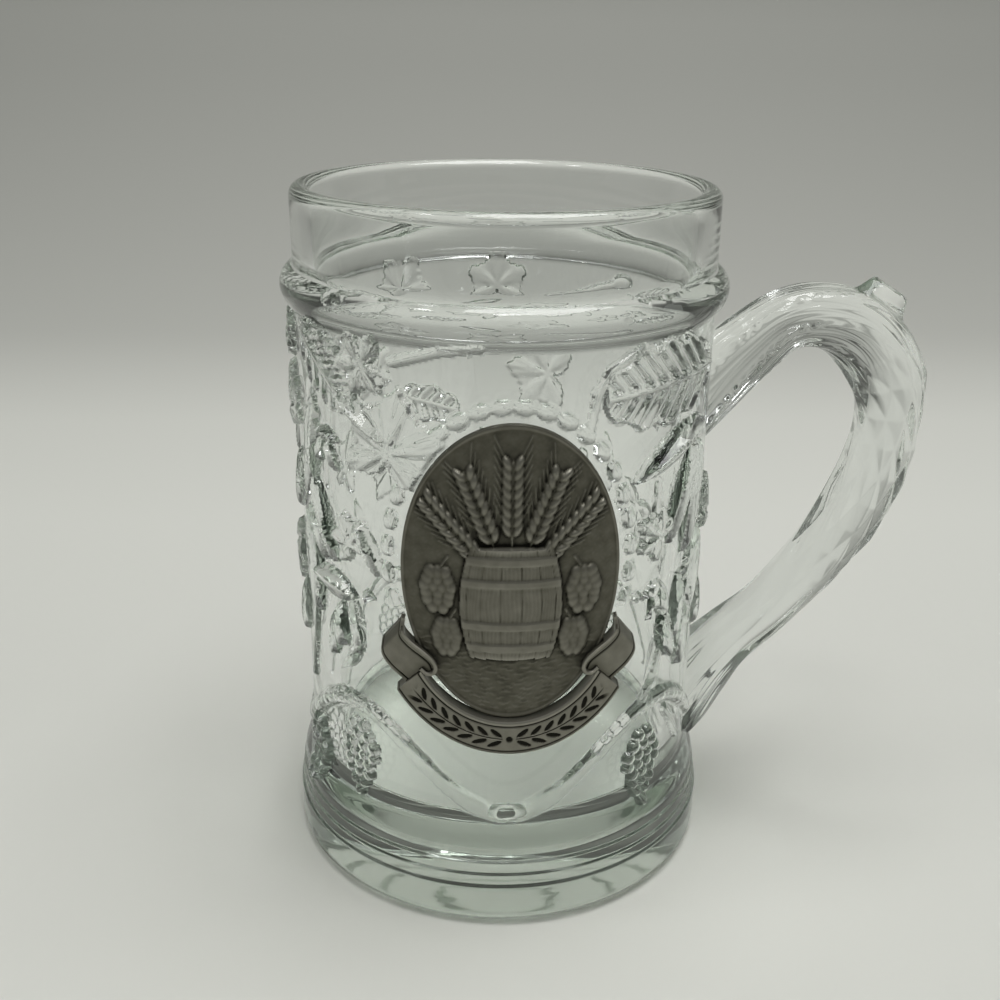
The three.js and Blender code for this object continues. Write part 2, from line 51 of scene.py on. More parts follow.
# Tumbler, as in the solids but for a tighter corner at its floor and plainer rings
HEIGHT = body_high.z / MM
FOOT_RADIUS = body_high.x / MM
FOOT_HEIGHT = 9.3
FOOT_EDGE = 2.4
RING_HEIGHT = 2.6
RING_EDGE = 0.6
COVE_RADIUS = 44.0
COVE_HEIGHT = 8.5
COVE_STRAIGHT = 1.5
WALL_RADIUS = 41.6
PANEL_HEIGHT = 94.3
COLLAR_HEIGHT = 7.7
COLLAR_BULGE = 2.4
COLLAR_CREST = 0.57
BAND_RADIUS = 41.4
RIM_WALL = 4.0
FLOOR_WALL = 5.6
FLOOR_THICKNESS = 21.5
FLOOR_CORNER = 1.0
COVE_BASE = FOOT_HEIGHT + 2 * RING_HEIGHT
PANEL_BASE = COVE_BASE + COVE_HEIGHT
COLLAR_BASE = PANEL_BASE + PANEL_HEIGHT
BAND_BASE = COLLAR_BASE + COLLAR_HEIGHT
BAND_TOP = HEIGHT - RIM_WALL / 2

# Medallion, as in the solids
PLAQUE_HALF_WIDTH = plaque_high.x / MM
PLAQUE_HALF_HEIGHT = (plaque_high.z - plaque_low.z) / 2 / MM
PLAQUE_CENTRE = (plaque_high.z + plaque_low.z) / 2 / MM
PLAQUE_BACK = 42.6
PLAQUE_FIELD = 43.8
PLAQUE_RIM_WIDTH = 0.6
PLAQUE_RIM_HEIGHT = 0.2
RIBBON_RADIUS = 25.5
RIBBON_WIDTH = 6.9
RIBBON_HALF_ANGLE = math.radians(58)
RIBBON_DROP = 7.2
RIBBON_CENTRE = PLAQUE_CENTRE - PLAQUE_HALF_HEIGHT - RIBBON_DROP + RIBBON_RADIUS
RIBBON_FRONT = 45.5

# How finely the glass is cut, and how far the grid of the relief reaches past the panel
COLUMNS = 720
PANEL_STEP = 0.36
FOOT_STEP = 0.14
GRID_BELOW = 5
GRID_ABOVE = 1.5


def smooth(x):
    """An even rise from 0 at 0 to 1 at 1."""
    x = np.clip(x, 0.0, 1.0)
    return x * x * (3 - 2 * x)


def link(name, data):
    """A new object with a mesh, a lamp or a camera, put into the scene."""
    piece = bpy.data.objects.new(name, data)
    bpy.context.scene.collection.objects.link(piece)
    return piece


def signed_volume(points, faces):
    """Volume inside a closed mesh of triangles, negative where its faces point inwards."""
    a, b, c = (points[faces[:, i]] for i in range(3))
    return np.einsum("ij,ij->i", a, np.cross(b, c)).sum() / 6


def closed_piece(name, points, quads, triangles=()):
    """A closed piece from points in millimetres, with its faces turned outwards."""
    points = np.asarray(points, float)
    quads = np.asarray(quads, int).reshape(-1, 4)
    triangles = np.asarray(triangles, int).reshape(-1, 3)
    split = np.concatenate([quads[:, [0, 1, 2]], quads[:, [0, 2, 3]], triangles])
    if signed_volume(points, split) < 0:
        quads, triangles = quads[:, ::-1], triangles[:, ::-1]
    mesh = bpy.data.meshes.new(name)
    mesh.from_pydata((points * MM).tolist(), [], quads.tolist() + triangles.tolist())
    mesh.validate()
    return link(name, mesh)


def ring_quads(rows, columns, first=0):
    """Quads of a tube of rows of points, each row closing on itself."""
    row, column = np.meshgrid(np.arange(rows - 1), np.arange(columns), indexing="ij")
    beside = (column + 1) % columns
    corners = [row * columns + column, row * columns + beside]
    corners += [(row + 1) * columns + beside, (row + 1) * columns + column]
    return np.stack(corners, -1).reshape(-1, 4) + first


def fan(centre, start, columns):
    """Triangles from a centre point to a closed row of points."""
    around = np.arange(columns)
    return np.stack([np.full(columns, centre), start + around, start + (around + 1) % columns], -1)


def tube(name, rings, start, end):
    """A closed tube from an array of rings of points, capped at a start and an end point."""
    rows, columns, _ = rings.shape
    points = np.concatenate([rings.reshape(-1, 3), [start], [end]])
    last = rows * columns
    caps = [fan(last, 0, columns)[:, ::-1], fan(last + 1, last - columns, columns)]
    return closed_piece(name, points, ring_quads(rows, columns), np.concatenate(caps))


def grid_quads(rows, columns):
    """Quads of a grid of points that are numbered row by row."""
    index = np.arange(rows * columns).reshape(rows, columns)
    return np.stack([index[:-1, :-1], index[:-1, 1:], index[1:, 1:], index[1:, :-1]], -1).reshape(-1, 4)


def slab(name, front, back):
    """A closed plate between two equal grids of points."""
    rows, columns, _ = front.shape
    count = rows * columns
    index = np.arange(count).reshape(rows, columns)
    face = grid_quads(rows, columns)
    edge = np.concatenate([index[0, :-1], index[:-1, -1], index[-1, :0:-1], index[:0:-1, 0]])
    after = np.roll(edge, -1)
    side = np.stack([after, edge, edge + count, after + count], -1)
    points = np.concatenate([front.reshape(-1, 3), back.reshape(-1, 3)])
    return closed_piece(name, points, np.concatenate([face, face[:, ::-1] + count, side]))


def combine(target, other, operation):
    """Applies a boolean of two closed pieces to the first and removes the second."""
    modifier = target.modifiers.new("combine", "BOOLEAN")
    modifier.operation = operation
    modifier.solver = "MANIFOLD"
    modifier.object = other
    graph = bpy.context.evaluated_depsgraph_get()
    made = bpy.data.meshes.new_from_object(target.evaluated_get(graph))
    target.modifiers.clear()
    target.data = made
    bpy.data.objects.remove(other)


def shade(piece, sharp_angle):
    """Shades a piece smooth, apart from edges sharper than an angle in degrees."""
    piece.data.shade_smooth()
    piece.data.set_sharp_from_angle(angle=math.radians(sharp_angle))


def round_wall(angle, radius, up):
    """Points at angles from -Y, radii and heights round the mug's axis."""
    return np.stack(np.broadcast_arrays(radius * np.sin(angle), -radius * np.cos(angle), up), -1)


# Vine relief: heights over the wall on a grid of rows of height and columns of angle
panel_up = np.arange(PANEL_BASE - GRID_BELOW, COLLAR_BASE + GRID_ABOVE, PANEL_STEP)
column_angle = np.arange(COLUMNS) * 2 * math.pi / COLUMNS
relief = np.zeros((len(panel_up), COLUMNS))


def stamp(degrees, up, reach, shape):
    """Raises the relief to a shape centred at an angle and a height."""
    turn = (column_angle - math.radians(degrees) + math.pi) % (2 * math.pi) - math.pi
    across = turn * WALL_RADIUS
    columns = np.nonzero(np.abs(across) < reach)[0]
    rows = np.nonzero(np.abs(panel_up - up) < reach)[0]
    area = np.ix_(rows, columns)
    made = shape(across[columns][None, :], (panel_up[rows] - up)[:, None])
    relief[area] = np.maximum(relief[area], made)


def turned(across, up, degrees):
    """Coordinates across and along a direction that is turned clockwise from upright."""
    sine, cosine = math.sin(math.radians(degrees)), math.cos(math.radians(degrees))
    return across * cosine - up * sine, across * sine + up * cosine


# Five-lobed leaf: angle between lobes, heights of its face, pillows and ribs, and width of its edge
LOBE = math.radians(60)
LEAF_FACE = 0.95
LEAF_PILLOW = 0.65
LEAF_RIB = 0.6
LEAF_EDGE = 0.55


def leaf_reach(fold):
    """Reach of a five-lobed leaf at an angle from its tip, as a share of its size."""
    spoke = np.sqrt(4 * (fold / LOBE - np.round(fold / LOBE)) ** 2 + 0.08)
    lobes = 1.13 - 0.42 * spoke * (2 - spoke) - 0.05 * fold + 0.025 * np.cos(27 * fold)
    notch = 1 - 0.8 * np.exp(-(((math.pi - fold) / 0.4) ** 2))
    return lobes * notch


def vine_leaf(size, degrees, depth):
    """A five-lobed leaf with rounded, pillowed lobes, ribs and a crisp edge."""

    def shape(across, up):
        x, y = turned(across, up, degrees)
        radius = np.hypot(x, y)
        angle = np.arctan2(x, y)
        reach = size * leaf_reach(np.abs(angle))
        share = np.clip(radius / reach, 0, 1)
        off = np.abs(radius * np.sin(angle - LOBE * np.round(angle / LOBE)))
        pillow = np.sin(math.pi * np.clip(off / (0.3 * radius + 0.4), 0, 1)) * smooth(radius / 3)
        rib = np.exp(-((off / 0.5) ** 2)) * smooth((1.1 - share) / 0.4)
        top = LEAF_FACE + LEAF_PILLOW * pillow * (1 - share**4) + LEAF_RIB * rib
        return depth * top * smooth((reach - radius) / LEAF_EDGE)

    return shape


# Long leaf: distance between its side veins, heights of its face and midrib, and depth of its hollows
VEIN_PITCH = 3.3
FEATHER_FACE = 1.4
FEATHER_RIB = 0.4
FEATHER_HOLLOW = 0.95
FEATHER_EDGE = 0.6


def feather_leaf(length, width, degrees):
    """A long leaf with a midrib, a rim and slanting hollows between its side veins."""

    def shape(across, up):
        x, y = turned(across, up, degrees)
        share = np.clip(2 * y / length, -1, 1)
        scallop = 1 + 0.1 * np.cos(math.pi * y / VEIN_PITCH)
        inset = width / 2 * np.maximum(1 - share**2, 0) ** 0.4 * scallop - np.abs(x)
        phase = (y - 0.8 * np.abs(x)) / VEIN_PITCH
        between = np.abs(phase - np.round(phase))
        inner = smooth((np.abs(x) - 0.5) / 0.5) * smooth((inset - 0.7) / 0.7)
        hollow = smooth((between - 0.14) / 0.24) * inner
        top = FEATHER_FACE + FEATHER_RIB * np.exp(-((x / 0.6) ** 2)) - FEATHER_HOLLOW * hollow
        return top * smooth(inset / FEATHER_EDGE)

    return shape


# Slender leaf: how far its ridge lies from the middle, as a share of its half width
POD_LEAN = 0.5


def pod(length, width, degrees, crown, lean):
    """A slender pointed leaf with a ridge to one side, between a broad flat and a steep one."""

    def shape(across, up):
        x, y = turned(across, up, degrees)
        share = np.clip(2 * np.abs(y) / length, 0, 1)
        half = np.maximum(width / 2 * (1 - share**2), 0.05)
        ridge = POD_LEAN * lean * half
        roof = np.clip(np.minimum((half - x) / (half - ridge), (half + x) / (half + ridge)), 0, 1)
        rounded = roof - 0.13 * roof**7
        return crown * (0.92 * rounded + 0.1 * smooth(8 * roof)) * (1 - share**2) ** 0.35

    return shape


def ball(radius, lift):
    """A ball with its centre on the wall, raised by a lift or sunk by a negative one."""

    def shape(across, up):
        rest = radius**2 - across**2 - up**2
        return np.where(rest > 0, np.sqrt(np.maximum(rest, 0)) + lift, 0)

    return shape


def bead(length, width, height, degrees):
    """Half of an egg-shaped bead."""

    def shape(across, up):
        x, y = turned(across, up, degrees)
        rest = 1 - (2 * y / length) ** 2 - (2 * x / width) ** 2
        return height * np.sqrt(np.maximum(rest, 0))

    return shape


def stem(run, radius):
    """A half-round stem through points of angle and height."""
    angles, heights = np.array(run, float).T
    for place in np.linspace(0, len(run) - 1, 12 * len(run)):
        degrees = np.interp(place, range(len(run)), angles)
        up = np.interp(place, range(len(run)), heights)
        stamp(degrees, up, radius, ball(radius, 0))


# Five-lobed leaves: angle, height, size, turn of the tip and share of the full relief
VINE_LEAVES = [
    (-31, 97.5, 13.0, 10, 1.0),
    (-38, 113, 7.5, -95, 1.0),
    (-44, 77.5, 6.8, -25, 1.0),
    (42, 79.5, 6.8, -55, 1.0),
    (38, 66.5, 6.0, 170, 1.0),
    (-80, 98, 9.5, -20, 1.0),
    (-86, 67, 9.5, 160, 1.0),
    (-104, 106, 8.5, 30, 1.0),
    (-110, 76, 9.5, -30, 1.0),
    (-130, 94, 9.0, 10, 0.6),
    (80, 75, 8.5, 20, 1.0),
    (99, 62, 8.5, 200, 1.0),
    (114, 91, 9.0, -20, 1.0),
    (119, 64, 9.5, 160, 1.0),
    (180, 111, 9.5, 0, 0.6),
    (162, 90.5, 11.5, 80, 0.6),
    (215, 111, 10.0, 30, 0.6),
    (150, 66, 9.5, 40, 0.6),
    (197, 62, 9.5, -40, 0.6),
    (174, 54, 8.0, 170, 0.6),
    (222, 70, 9.0, 140, 0.6),
    (134, 88, 8.0, -30, 0.6),
]

# Long veined leaves: angle, height, length, width and turn of the tip
FEATHER_LEAVES = [
    (42, 109.2, 29, 15.5, -94),
    (-53, 110.5, 20, 11.5, 130),
    (-88, 112, 18, 8.5, 100),
    (112, 108, 18, 9.0, -75),
    (235, 100, 20, 10.0, 40),
    (205, 84, 18, 8.5, 250),
]

# Slender leaves: angle, height, length, width, turn and crown
PODS = [
    (-40, 103, 14.5, 4.4, 124, 4.0),
    (-38, 77.5, 11.5, 3.8, 151, 4.0),
    (-48.5, 59.5, 10, 3.6, 175, 4.0),
    (-52.5, 56.5, 11, 3.8, 5, 3.1),
    (-43, 60.5, 12, 3.4, 170, 3.5),
    (-45.3, 53.3, 9, 3.2, 35, 3.5),
    (-53, 67, 15, 6.5, 95, 3.1),
    (-55.5, 80, 18, 4.6, -25, 3.4),
    (-57, 75.5, 9, 4.0, 150, 3.1),
    (-61, 93, 22, 4.8, 6, 3.4),
    (-62, 70, 24, 4.8, -6, 3.4),
    (-53, 97.3, 7, 2.8, 100, 2.6),
    (-51, 93.5, 6, 2.6, 150, 2.6),
    (-56, 94.5, 6, 2.4, 10, 2.6),
    (-37.5, 66, 7, 2.6, 150, 3.0),
    (45.5, 95.7, 22, 6.4, 66, 4.5),
    (51, 86, 21, 4.8, 24, 3.7),
    (44.5, 65.5, 8, 3.2, 175, 3.5),
    (47, 57.5, 12, 4.4, 170, 4.1),
    (52.3, 61.5, 15, 3.4, 5, 3.1),
    (56.5, 57, 20, 5.4, 5, 3.4),
    (57, 84, 24, 4.6, 10, 3.4),
    (60, 68, 20, 4.6, 8, 3.4),
    (70, 58, 14, 4.5, 170, 2.2),
    (-74, 84, 15, 4.6, 15, 2.2),
    (-76, 55, 14, 4.5, 190, 2.2),
    (-98, 90, 15, 4.6, -35, 2.2),
    (-120, 60, 15, 4.6, 20, 2.2),
    (126, 101, 14, 4.4, 20, 2.2),
    (136, 72, 15, 4.6, 190, 2.2),
    (186, 100, 13, 4.4, 120, 2.0),
    (184, 70, 14, 4.5, 10, 2.0),
    (242, 82, 15, 4.6, -20, 2.2),
]

# Thin stems as runs of angle and height
STEMS = [
    [(-30, 114), (-25, 115.2), (-18, 116.8), (-8, 117.8)],
    [(19, 103.5), (20.5, 109), (24, 113), (33, 116.2)],
    [(41, 83.5), (41.5, 90)],
    [(51, 38.5), (56, 34), (61, 28.5)],
    [(40, 44), (44, 48), (46, 53)],
    [(-70, 41), (-66, 52), (-63, 62)],
    [(136, 114), (143, 112.5), (152, 110), (162, 107.5)],
    [(-66, 84), (-64, 94), (-60, 103)],
]
STEM_RADIUS = 0.95

# The bud at the end of the twig on the back: angle and height, then length, width, height and turn
BUD = (134, 114.3)
BUD_SHAPE = (6.5, 4.2, 1.7, 100)

# The top of each bunch of grapes, as angle and height, and the grapes in each of its rows
BUNCHES = [(-44, 38), (41, 36), (-66, 31), (135, 37), (225, 37)]
BUNCH_ROWS = [2, 3, 4, 4, 3, 3, 2, 1]
GRAPE_RADIUS = 1.4
GRAPE_LIFT = 0.3
GRAPE_PITCH = 2.5
GRAPE_ROW_PITCH = 0.87 * GRAPE_PITCH


def carve_relief():
    """Stamps all the leaves, stems, grapes and beads and the garland."""
    for degrees, up, size, turn, depth in VINE_LEAVES:
        stamp(degrees, up, 1.1 * size, vine_leaf(size, turn, depth))
    for degrees, up, length, width, turn in FEATHER_LEAVES:
        stamp(degrees, up, length, feather_leaf(length, width, turn))
    for degrees, up, length, width, turn, crown in PODS:
        lean = -math.copysign(1, degrees * math.cos(math.radians(turn)))
        stamp(degrees, up, length, pod(length, width, turn, crown, lean))
    for run in STEMS:
        stem(run, STEM_RADIUS)
    for degrees, up in BUNCHES:
        carve_bunch(degrees, up)
    stamp(*BUD, BUD_SHAPE[0], bead(*BUD_SHAPE))
    carve_branch()
    carve_beads()


def carve_bunch(degrees, up):
    """Rows of grapes that hang from an angle and a height."""
    for row, count in enumerate(BUNCH_ROWS):
        for i in range(count):
            across = (i - (count - 1) / 2) * GRAPE_PITCH
            place = degrees + math.degrees(across / WALL_RADIUS)
            stamp(place, up - row * GRAPE_ROW_PITCH, GRAPE_RADIUS, ball(GRAPE_RADIUS, GRAPE_LIFT))


# Garland: it starts and stops at an angle from the handle, which is at 90 degrees
BRANCH_RADIUS = 2.1
BRANCH_SINK = 0.8
BRANCH_LOW = 1.6
BRANCH_RISE = 18.4
BRANCH_GAP = 16
BRANCH_ANGLES = np.arange(90 + BRANCH_GAP, 450 - BRANCH_GAP, 0.5)
SWAGS = 4

# Where a swag rises less than this, it grows broader and sinks by a share of what it grew
SWAG_FLAT_RISE = 7
SWAG_GROWTH = 1.2
SWAG_SINK = 1.2


def carve_branch():
    """The garland of four swags, which stops beside the handle's lower root."""
    for degrees in BRANCH_ANGLES:
        rise = BRANCH_RISE * (1 - math.cos(SWAGS * math.radians(degrees))) / 2
        bark = 0.06 * math.sin(degrees * 0.9) + 0.04 * math.sin(degrees * 2.3)
        growth = SWAG_GROWTH * smooth(1 - rise / SWAG_FLAT_RISE)
        shape = ball(BRANCH_RADIUS + bark + growth, -BRANCH_SINK - SWAG_SINK * growth)
        stamp(degrees, PANEL_BASE + BRANCH_LOW + rise, BRANCH_RADIUS + 0.3 + growth, shape)


# Beads round the plaque, down to a height over the centre of the ribbon's arc
BEAD_COUNT = 36
BEAD_STOP = 2
BEAD_LENGTH = 4.3
BEAD_WIDTH = 2.9
BEAD_HEIGHT = 1.25
BEAD_MARGIN = 2.5

# Free wall round and over the ribbon, and how softly the relief ends at the plaque, as a share of its size
RIBBON_CLEARANCE = 1.5
RIBBON_FREE_TOP = 1
PLAQUE_FADE = 0.03


def carve_beads():
    """An oval of beads round the plaque, left out where the ribbon covers it."""
    half_width = PLAQUE_HALF_WIDTH + BEAD_MARGIN
    half_height = PLAQUE_HALF_HEIGHT + BEAD_MARGIN
    for i in range(BEAD_COUNT):
        angle = (i + 0.5) * 2 * math.pi / BEAD_COUNT
        up = PLAQUE_CENTRE + half_height * math.cos(angle)
        if up < RIBBON_CENTRE + BEAD_STOP:
            continue
        degrees = math.degrees(math.asin(half_width * math.sin(angle) / WALL_RADIUS))
        heading = math.degrees(math.atan2(half_width * math.cos(angle), -half_height * math.sin(angle)))
        stamp(degrees, up, BEAD_LENGTH, bead(BEAD_LENGTH, BEAD_WIDTH, BEAD_HEIGHT, heading))


def clear_medallion():
    """Takes the relief away where the medallion and its ribbon sit."""
    front = np.cos(column_angle)[None, :] > 0
    across = WALL_RADIUS * np.sin(column_angle)[None, :]
    up = panel_up[:, None]
    oval = np.hypot(across / PLAQUE_HALF_WIDTH, (up - PLAQUE_CENTRE) / PLAQUE_HALF_HEIGHT)
    below = np.hypot(across, up - RIBBON_CENTRE)
    ribbon = (below < RIBBON_RADIUS + RIBBON_CLEARANCE) & (up < RIBBON_CENTRE + RIBBON_FREE_TOP)
    free = np.where(front, smooth((oval - 1.0) / PLAQUE_FADE) * ~ribbon, 1.0)
    relief[:] *= free


# How far the foot, the lower ring and the upper ring stand out from what is above each
FOOT_LEDGE = 0.45
RING_LEDGE = 0.35
LEDGES = (FOOT_LEDGE, RING_LEDGE, FOOT_RADIUS - COVE_RADIUS - FOOT_LEDGE - RING_LEDGE)


def arc_rows(radius, up, reach, degrees):
    """Rows on an arc about a middle, at angles from straight outwards."""
    return [(radius + reach * math.cos(angle), up + reach * math.sin(angle)) for angle in np.radians(degrees)]


def foot_rows():
    """Rows of (radius, height) from the underside up to the relief."""
    rows = [(radius, 0.0) for radius in (14, 28, FOOT_RADIUS - FOOT_EDGE)]
    rows += arc_rows(FOOT_RADIUS - FOOT_EDGE, FOOT_EDGE, FOOT_EDGE, np.linspace(-80, 0, 8))
    for up in np.arange(FOOT_EDGE + 0.5, panel_up[0], FOOT_STEP):
        rows.append((cove_radius(up) + foot_ledges(up), up))
    return rows


def wall_rows():
    """Rows from the foot of the relief over the collar and round the rim."""
    collar_up = np.linspace(panel_up[-1], BAND_BASE, 22)[1:]
    rows = [(cove_radius(up), up) for up in [*panel_up, *collar_up]]
    rows += [(BAND_RADIUS, up) for up in np.linspace(BAND_BASE + 0.6, BAND_TOP - 0.4, 8)]
    return rows + arc_rows(BAND_RADIUS - RIM_WALL / 2, BAND_TOP, RIM_WALL / 2, np.linspace(0, 180, 15))


def inside_rows():
    """Rows from the rim down the inside and over the floor."""
    inner_low = WALL_RADIUS - FLOOR_WALL
    corner_top = FLOOR_THICKNESS + FLOOR_CORNER
    radii = np.linspace(BAND_RADIUS - RIM_WALL, inner_low, 40)[1:]
    rows = list(zip(radii, np.linspace(BAND_TOP, corner_top, 40)[1:]))
    rows += arc_rows(inner_low - FLOOR_CORNER, corner_top, FLOOR_CORNER, np.linspace(0, -90, 25)[1:])
    return rows + [(radius, FLOOR_THICKNESS) for radius in (24, 16, 8)]


def foot_ledges(up):
    """How far the foot and its two rings stand out from the cove, with a soft edge on each."""
    ledges = zip((FOOT_HEIGHT, FOOT_HEIGHT + RING_HEIGHT, COVE_BASE), LEDGES)
    return sum(ledge * smooth((edge - up) / RING_EDGE + 0.5) for edge, ledge in ledges)


def cove_radius(up):
    """Outer radius of the plain wall, with its cove at the foot and its collar at the top."""
    fall = smooth(1 - (up - COVE_BASE - COVE_STRAIGHT) / (COVE_HEIGHT - COVE_STRAIGHT))
    swell = 0.0
    if COLLAR_BASE < up < BAND_BASE:
        crest = COLLAR_BASE + COLLAR_CREST * COLLAR_HEIGHT
        reach = crest - COLLAR_BASE if up < crest else BAND_BASE - crest
        swell = COLLAR_BULGE * (1 - ((up - crest) / reach) ** 2) ** 0.75
    return WALL_RADIUS + fall * (COVE_RADIUS - WALL_RADIUS) + swell


# What lies inside this radius and over the underside is the mug's slightly wavy inside
WAVY_RADIUS = 41.0


def make_body():
    """The tumbler as one closed mesh, with the relief on its wall."""
    foot = foot_rows()
    rows = np.array(foot + wall_rows() + inside_rows())
    angle = column_angle[None, :]
    radius = np.repeat(rows[:, :1], COLUMNS, axis=1)
    up = np.repeat(rows[:, 1:], COLUMNS, axis=1)
    radius[len(foot) : len(foot) + len(panel_up)] += relief
    wave = 0.03 * np.sin(3 * angle + 0.05 * up) + 0.025 * np.sin(5 * angle - 0.08 * up + 1.3)
    radius += wave * (radius < WAVY_RADIUS) * (up > 0)
    rings = round_wall(angle, radius, up)
    return tube("glass_mug", rings, (0, 0, 0), (0, 0, FLOOR_THICKNESS))


# Centre line of the handle, as in the solids: shares of its reach, its root span and its depth
HANDLE_REACH = 38.9
HANDLE_ROOT_SPAN = 70
LOW_ROOT_HEIGHT = 30.5
HANDLE_DEPTH = 14.0
HANDLE_WIDTH = 14.0
ROOT_WIDTH = 19
HANDLE_SHARES = [
    (-0.18, 0.9, 1.29),
    (0.0, 1.0, 1.18),
    (0.2, 1.1, 1.01),
    (0.39, 1.178, 0.9),
    (0.6, 1.19, 0.96),
    (0.81, 1.142, 1.09),
    (0.965, 1.02, 1.1),
    (1.005, 0.88, 0.97),
    (0.975, 0.74, 1.01),
    (0.88, 0.6, 1.01),
    (0.71, 0.44, 0.92),
    (0.475, 0.265, 0.83),
    (0.25, 0.15, 0.91),
    (0.1, 0.055, 1.11),
    (-0.06, -0.07, 1.25),
    (-0.2, -0.19, 1.0),
]
HANDLE_ROWS = 420
HANDLE_SIDES = 180

# Each root widens over this share of the handle's length and is trimmed inside the wall
ROOT_SHARE = 0.2
ROOT_CUT_RADIUS = 40.6
ROOT_CUT_BASE = -20.0

# Twisted flats with rounded creases between them, and the ripple, bark and scales on them
FLUTES = 7
FLUTE_TWIST = 0.45
CREASE_ROUNDING = 0.09
RIPPLE_HEIGHT = 0.24
BARK_LINES = 19
BARK_HEIGHT = 0.36
SCALES_AROUND = 10
SCALES_ALONG = 12
SCALE_HEIGHT = 0.6

# Knob: its place as a share of the handle's length, and the hollow in its end
KNOB_PLACE = 0.29
KNOB_REACH = 4.3
KNOB_HEIGHT = 3.4
KNOB_FLANK = 2.2
HOLLOW_REACH = 2.1
HOLLOW_DEPTH = 0.8
HOLLOW_FLANK = 0.9

SPLINE_STEPS = 60


def spline(points, count):
    """Evenly spaced points on a smooth curve through the given ones."""
    points = np.array(points, float)
    ends = [2 * points[0] - points[1], 2 * points[-1] - points[-2]]
    padded = np.concatenate([ends[:1], points, ends[1:]])
    fine = []
    for a, b, c, d in zip(padded, padded[1:], padded[2:], padded[3:]):
        square = 2 * a - 5 * b + 4 * c - d
        cube = 3 * b - a - 3 * c + d
        for t in np.linspace(0, 1, SPLINE_STEPS, endpoint=False):
            fine.append(0.5 * (2 * b + (c - a) * t + square * t**2 + cube * t**3))
    fine = np.array(fine + [points[-1]])
    length = np.concatenate([[0], np.cumsum(np.linalg.norm(np.diff(fine[:, :2], axis=0), axis=1))])
    even = np.linspace(0, length[-1], count)
    return np.stack([np.interp(even, length, fine[:, i]) for i in range(fine.shape[1])], -1)


def handle_flats(side, share, twist):
    """Radius of the twisted flats as a share, and the ripple on their front near the upper root."""
    phase = (side - twist) * FLUTES / (2 * math.pi)
    gap = 0.5 - np.abs(phase - np.round(phase))
    off = 0.5 - np.hypot(gap, CREASE_ROUNDING)
    flat = math.cos(math.pi / FLUTES) / np.cos(2 * math.pi * off / FLUTES)
    crease = smooth(1 - gap / 0.18)
    uneven = np.sin(380 * share + 5 * np.round(phase)) * (0.6 + 0.4 * np.sin(97 * share))
    ripple = crease * uneven * smooth((0.3 - share) / 0.1) * smooth(-1.5 * np.sin(side))
    return flat, ripple


def handle_bark(side, share, twist):
    """Lines of bark at both roots and round the knob, and fainter ones between those."""
    grainy = smooth(1 - share / 0.16) + 0.7 * smooth(1 - np.abs(share - KNOB_PLACE) / 0.08)
    grainy = np.maximum(grainy, 0.45 * smooth((0.4 - share) / 0.08))
    grainy = np.maximum(grainy, 0.8 * smooth((share - 0.8) / 0.1))
    lines = np.cos(BARK_LINES / 2 * (side - 0.7 * twist) + 1.1 * np.sin(11 * share + 2 * side))
    return (0.6 - np.abs(lines)) * grainy


def handle_scales(side, share, twist):
    """Long pointed scales in a lattice on the front, from the knob downwards."""
    across, along = (side - twist) / (2 * math.pi) * SCALES_AROUND, share * SCALES_ALONG
    rising, falling = (across + along) % 1, (across - along) % 1
    scales = 1 - 2 * np.maximum(np.abs(rising - 0.5), np.abs(falling - 0.5))
    scaly = smooth((share - 0.3) / 0.08) * smooth((0.72 - share) / 0.1) * smooth(0.3 - 2 * np.sin(side))
    return (scales - 0.4) * scaly


def handle_knob(side, share, depth, length):
    """A stub on the outer side, with a hollow in its end."""
    beside = np.abs((side + math.pi) % (2 * math.pi) - math.pi) * depth / 2
    away = np.hypot(beside, (share - KNOB_PLACE) * length)
    hollow = HOLLOW_DEPTH * smooth((HOLLOW_REACH - away) / HOLLOW_FLANK)
    return KNOB_HEIGHT * smooth((KNOB_REACH - away) / KNOB_FLANK) - hollow


def make_handle():
    """The branch-like handle with twisted flats and a knob, trimmed to end inside the wall."""
    line = [
        (WALL_RADIUS + out * HANDLE_REACH, LOW_ROOT_HEIGHT + up * HANDLE_ROOT_SPAN, depth * HANDLE_DEPTH)
        for out, up, depth in HANDLE_SHARES
    ]
    x, z, depth = spline(line, HANDLE_ROWS).T[:, :, None]
    along_x, along_z = np.gradient(x, axis=0), np.gradient(z, axis=0)
    step = np.hypot(along_x, along_z)
    share = np.linspace(0, 1, HANDLE_ROWS)[:, None]
    side = (np.arange(HANDLE_SIDES) * 2 * math.pi / HANDLE_SIDES)[None, :]
    root = smooth(1 - np.minimum(share, 1 - share) / ROOT_SHARE)
    width = HANDLE_WIDTH + (ROOT_WIDTH - HANDLE_WIDTH) * root
    twist = 2 * math.pi * FLUTE_TWIST * share
    flat, ripple = handle_flats(side, share, twist)
    ridge = (flat - 0.95) * depth / 2 + RIPPLE_HEIGHT * ripple
    ridge += BARK_HEIGHT * handle_bark(side, share, twist)
    ridge += SCALE_HEIGHT * handle_scales(side, share, twist)
    out = (depth / 2 + ridge + handle_knob(side, share, depth, step.sum())) * np.cos(side)
    y = (width / 2 + ridge) * np.sin(side)
    rings = np.stack([x - along_z / step * out, y, z + along_x / step * out], -1)
    middle = rings.mean(axis=1)
    handle = tube("handle_part", rings, middle[0], middle[-1])
    combine(handle, make_core(), "DIFFERENCE")
    return handle


def make_core():
    """A round column inside the wall, which trims the handle's roots."""
    rings = round_wall(column_angle[None, ::4], ROOT_CUT_RADIUS, np.array([[ROOT_CUT_BASE], [HEIGHT]]))
    return tube("core_part", rings, (0, 0, ROOT_CUT_BASE), (0, 0, HEIGHT))


